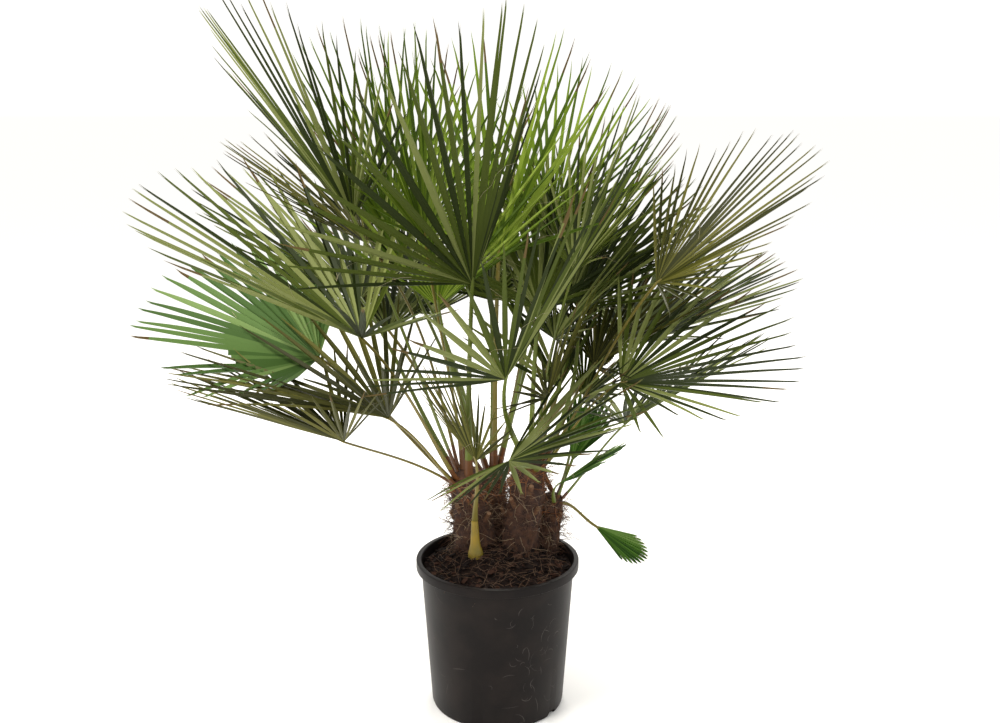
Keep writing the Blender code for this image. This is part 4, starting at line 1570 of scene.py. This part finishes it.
@dataclass
class Pot:
    """The black nursery pot, turned smooth, with its drain slots and scuffs."""

    height: float = 0.340
    rim_radius: float = 0.180
    neck_radius: float = 0.169
    foot_radius: float = 0.148
    lip_drop: float = 0.019
    lip_thick: float = 0.0045
    lip_edge: float = 0.0006
    lip_round: float = 0.0022
    lip_inner: float = 0.0015
    lip_slope: float = 0.0012
    wall: float = 0.0025
    floor: float = 0.0035
    chamfer: float = 0.008
    chamfer_bulge: Span = (0.3, 0.2)
    sides: int = 160
    merge: float = 0.0001
    holes: int = 5
    hole_width: float = 0.024
    hole_height: float = 0.011
    hole_depth: float = 0.024
    hole_corner: float = 0.004
    hole_segments: int = 4
    first_hole: float = -107.5
    scratches: int = 90
    scratch_steps: int = 7
    scratch_lift: float = 0.00012
    worn_side: Span = (-80.0, 10.0)
    all_round: Span = (-180.0, 180.0)
    astray_each: int = 3
    longer_each: int = 4
    longer: float = 2.0
    scratch_heights: Span = (0.02, 0.29)
    scratch_limits: Span = (0.012, 0.31)
    scratch_lengths: Span = (0.006, 0.040)
    scratch_widths: Span = (0.0002, 0.0006)
    scratch_bend: float = 0.5

    def outer(self, height: float) -> float:
        """Outer radius of the tapered wall."""
        share = (height - self.chamfer) / (self.height - self.lip_drop - self.chamfer)
        return self.foot_radius + (self.neck_radius - self.foot_radius) * share

    def profile(self) -> list[Span]:
        """Half section of the pot.

        Returns:
            Radius and height of each corner, from the middle of the underside, up the outside, over the lip
            and down the inside.
        """
        skirt, lip_foot = self.rim_radius - self.wall, self.height - self.lip_drop
        under_lip = self.height - self.lip_thick
        bulge_in, bulge_up = self.chamfer_bulge
        neck = self.outer(under_lip)
        inner_foot = self.outer(self.chamfer + self.floor) - self.wall
        return [
            (0.0, 0.0),
            (self.foot_radius - self.chamfer, 0.0),
            (self.foot_radius - bulge_in * self.chamfer, bulge_up * self.chamfer),
            (self.foot_radius, self.chamfer),
            (self.outer(0.5 * self.height), 0.5 * self.height),
            (neck, under_lip),
            (skirt, under_lip),
            (skirt, lip_foot + self.lip_edge),
            (skirt + self.lip_edge, lip_foot),
            (self.rim_radius - self.lip_edge, lip_foot),
            (self.rim_radius, lip_foot + self.lip_edge),
            (self.rim_radius, self.height - self.lip_round),
            (self.rim_radius - self.lip_edge, self.height - self.lip_edge),
            (self.rim_radius - self.lip_round, self.height),
            (neck, self.height),
            (neck - self.lip_inner, self.height - self.lip_slope),
            (neck - self.wall, under_lip),
            (inner_foot, self.chamfer + self.floor),
            (self.foot_radius - self.chamfer - self.wall, self.floor),
            (0.0, self.floor),
        ]

    def build(self) -> None:
        """Turns the profile, cuts the drain slots and adds the scuffs."""
        shell = bmesh.new()
        corners = [shell.verts.new((radius, 0.0, height)) for radius, height in self.profile()]
        edges = [shell.edges.new(pair) for pair in zip(corners, corners[1:])]
        bmesh.ops.spin(shell, geom=corners + edges, axis=UP, cent=(0, 0, 0), steps=self.sides, angle=math.tau)
        bmesh.ops.remove_doubles(shell, verts=shell.verts, dist=self.merge)
        bmesh.ops.recalc_face_normals(shell, faces=shell.faces)
        mesh = bpy.data.meshes.new("pot_wall")
        shell.to_mesh(mesh)
        shell.free()
        dark, dusty = (0.0065, 0.0048, 0.0045), (0.018, 0.0125, 0.0105)
        plastic = Finish("pot", dark, 0.42, second=dusty, grain=14.0, amount=0.35, bump=0.0004, specular=0.12)
        pot = new_piece("pot_wall", mesh, plastic)
        for index in range(self.holes):
            self.cut_slot(pot, index)
        settle(pot, Shading.POT)
        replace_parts(pot, "pot")
        chance, scuffs = random.Random("scuffs"), MeshBuffer()
        for index in range(self.scratches):
            self.scratch(index, scuffs, chance)
        pale = Finish("scuff", (0.060, 0.052, 0.048), 0.7, specular=0.2)
        scuffs.make("pot_scuffs", pale, "pot", Shading.FLAT)

    def cut_slot(self, pot: bpy.types.Object, index: int) -> None:
        """Cuts one rounded slot through the corner between wall and floor.

        Args:
            pot: the turned pot.
            index: number of the slot.
        """
        turn = math.radians(self.first_hole + index * 360.0 / self.holes)
        bpy.ops.object.select_all(action="DESELECT")
        place = at_turn(turn, self.foot_radius)
        bpy.ops.mesh.primitive_cube_add(size=1.0, location=place, rotation=(0.0, 0.0, turn))
        cutter = bpy.context.active_object
        cutter.scale = (self.hole_depth, self.hole_width, 2 * self.hole_height)
        bpy.ops.object.transform_apply(location=True, rotation=True, scale=True)
        rounding = cutter.modifiers.new("round", "BEVEL")
        rounding.width = self.hole_corner
        rounding.segments = self.hole_segments
        bpy.ops.object.modifier_apply(modifier=rounding.name)
        cut = pot.modifiers.new("slot", "BOOLEAN")
        cut.operation = "DIFFERENCE"
        cut.object = cutter
        bpy.context.view_layer.objects.active = pot
        bpy.ops.object.modifier_apply(modifier=cut.name)
        bpy.data.objects.remove(cutter)

    def scratch(self, index: int, buffer: MeshBuffer, chance: random.Random) -> None:
        """Draws one pale curved scratch on the wall, most of them on the worn side.

        Args:
            index: its number.
            buffer: where it is drawn.
            chance: the scratches' random numbers.
        """
        turn = chance.uniform(*(self.worn_side if index % self.astray_each else self.all_round))
        height, length = chance.uniform(*self.scratch_heights), chance.uniform(*self.scratch_lengths)
        length *= 1.0 if index % self.longer_each else self.longer
        heading, bend = chance.uniform(0, math.tau), chance.uniform(-self.scratch_bend, self.scratch_bend)
        width, stride = chance.uniform(*self.scratch_widths), length / (self.scratch_steps - 1)
        lowest, highest = self.scratch_limits
        points = []
        for step in range(self.scratch_steps):
            radius = self.outer(height) + self.scratch_lift
            thin = width * math.sin(math.pi * (step + 0.5) / self.scratch_steps)
            for half in (-thin, thin):
                swing = math.radians(turn) - half * math.sin(heading) / radius
                points.append(at_turn(swing, radius, height + half * math.cos(heading)))
            turn += math.degrees(stride * math.cos(heading) / radius)
            height = min(highest, max(lowest, height + stride * math.sin(heading)))
            heading += bend
        faces = [(at, at + 2, at + 3, at + 1) for at in range(0, len(points) - 2, 2)]
        buffer.add(points, faces)


@dataclass
class Studio:
    """A plain pale floor, soft lights and a camera at the photo's viewing angle."""

    distance: float = 2.54
    eye_height: float = 1.41
    tilt_down: float = 13.8
    lens: float = 44.14
    sensor: float = 36.0
    offset: float = 0.0056
    ground_size: float = 60.0
    ground_drop: float = 0.0002
    ground_white: float = 0.93
    sky: Colour = (1.0, 0.985, 0.955)
    sky_strength: float = 1.1
    lamp_colour: Colour = (1.0, 0.96, 0.89)
    lamp_aim: Place = (0.0, 0.0, 0.8)

    LAMPS = (("key", (-1.6, -1.4, 3.6), 1.2, 130.0), ("back", (0.4, 2.6, 3.2), 1.6, 110.0))

    def ground(self) -> None:
        """Lays a pale ground that fades into the background."""
        bpy.ops.object.select_all(action="DESELECT")
        bpy.ops.mesh.primitive_plane_add(size=self.ground_size, location=(0, 0, -self.ground_drop))
        ground = bpy.context.active_object
        ground.name = "studio_floor"
        white = Finish("studio_floor", (self.ground_white,) * 3, 0.9, specular=0.0)
        ground.data.materials.append(white.build())

    def lights(self) -> None:
        """Sets a white surrounding, a broad key light from the upper left and one from behind."""
        world = bpy.data.worlds.new("studio")
        world.use_nodes = True
        sky = world.node_tree.nodes["Background"]
        sky.inputs["Color"].default_value = (*self.sky, 1.0)
        sky.inputs["Strength"].default_value = self.sky_strength
        bpy.context.scene.world = world
        for name, place, size, power in self.LAMPS:
            light = bpy.data.lights.new(name, "AREA")
            light.size = size
            light.energy = power
            light.color = self.lamp_colour
            lamp = bpy.data.objects.new(name, light)
            lamp.location = place
            aim = Vector(self.lamp_aim) - Vector(place)
            lamp.rotation_euler = aim.to_track_quat("-Z", "Y").to_euler()
            bpy.context.scene.collection.objects.link(lamp)

    def camera(self) -> None:
        """Sets the camera in front of the plant, looking slightly down."""
        data = bpy.data.cameras.new("camera")
        data.lens = self.lens
        data.sensor_width = self.sensor
        eye = bpy.data.objects.new("camera", data)
        eye.location = (self.offset, -self.distance, self.eye_height)
        eye.rotation_euler = (math.radians(90 - self.tilt_down), 0.0, 0.0)
        bpy.context.scene.collection.objects.link(eye)
        bpy.context.scene.camera = eye

    def build(self) -> None:
        """Sets up the whole studio."""
        self.ground()
        self.lights()
        self.camera()
        bpy.context.scene.view_settings.view_transform = "Standard"


def main() -> None:
    """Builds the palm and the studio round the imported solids."""
    logging.basicConfig(level=logging.INFO, format="%(name)s %(message)s")
    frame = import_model()
    grown = Crown(frame["nodes"]).grow()
    LOG.info("%d fronds", len(grown))
    Foliage().build(grown)
    Trunks().build()
    Soil().build()
    Pot().build()
    Studio().build()


if __name__ == "__main__":
    main()
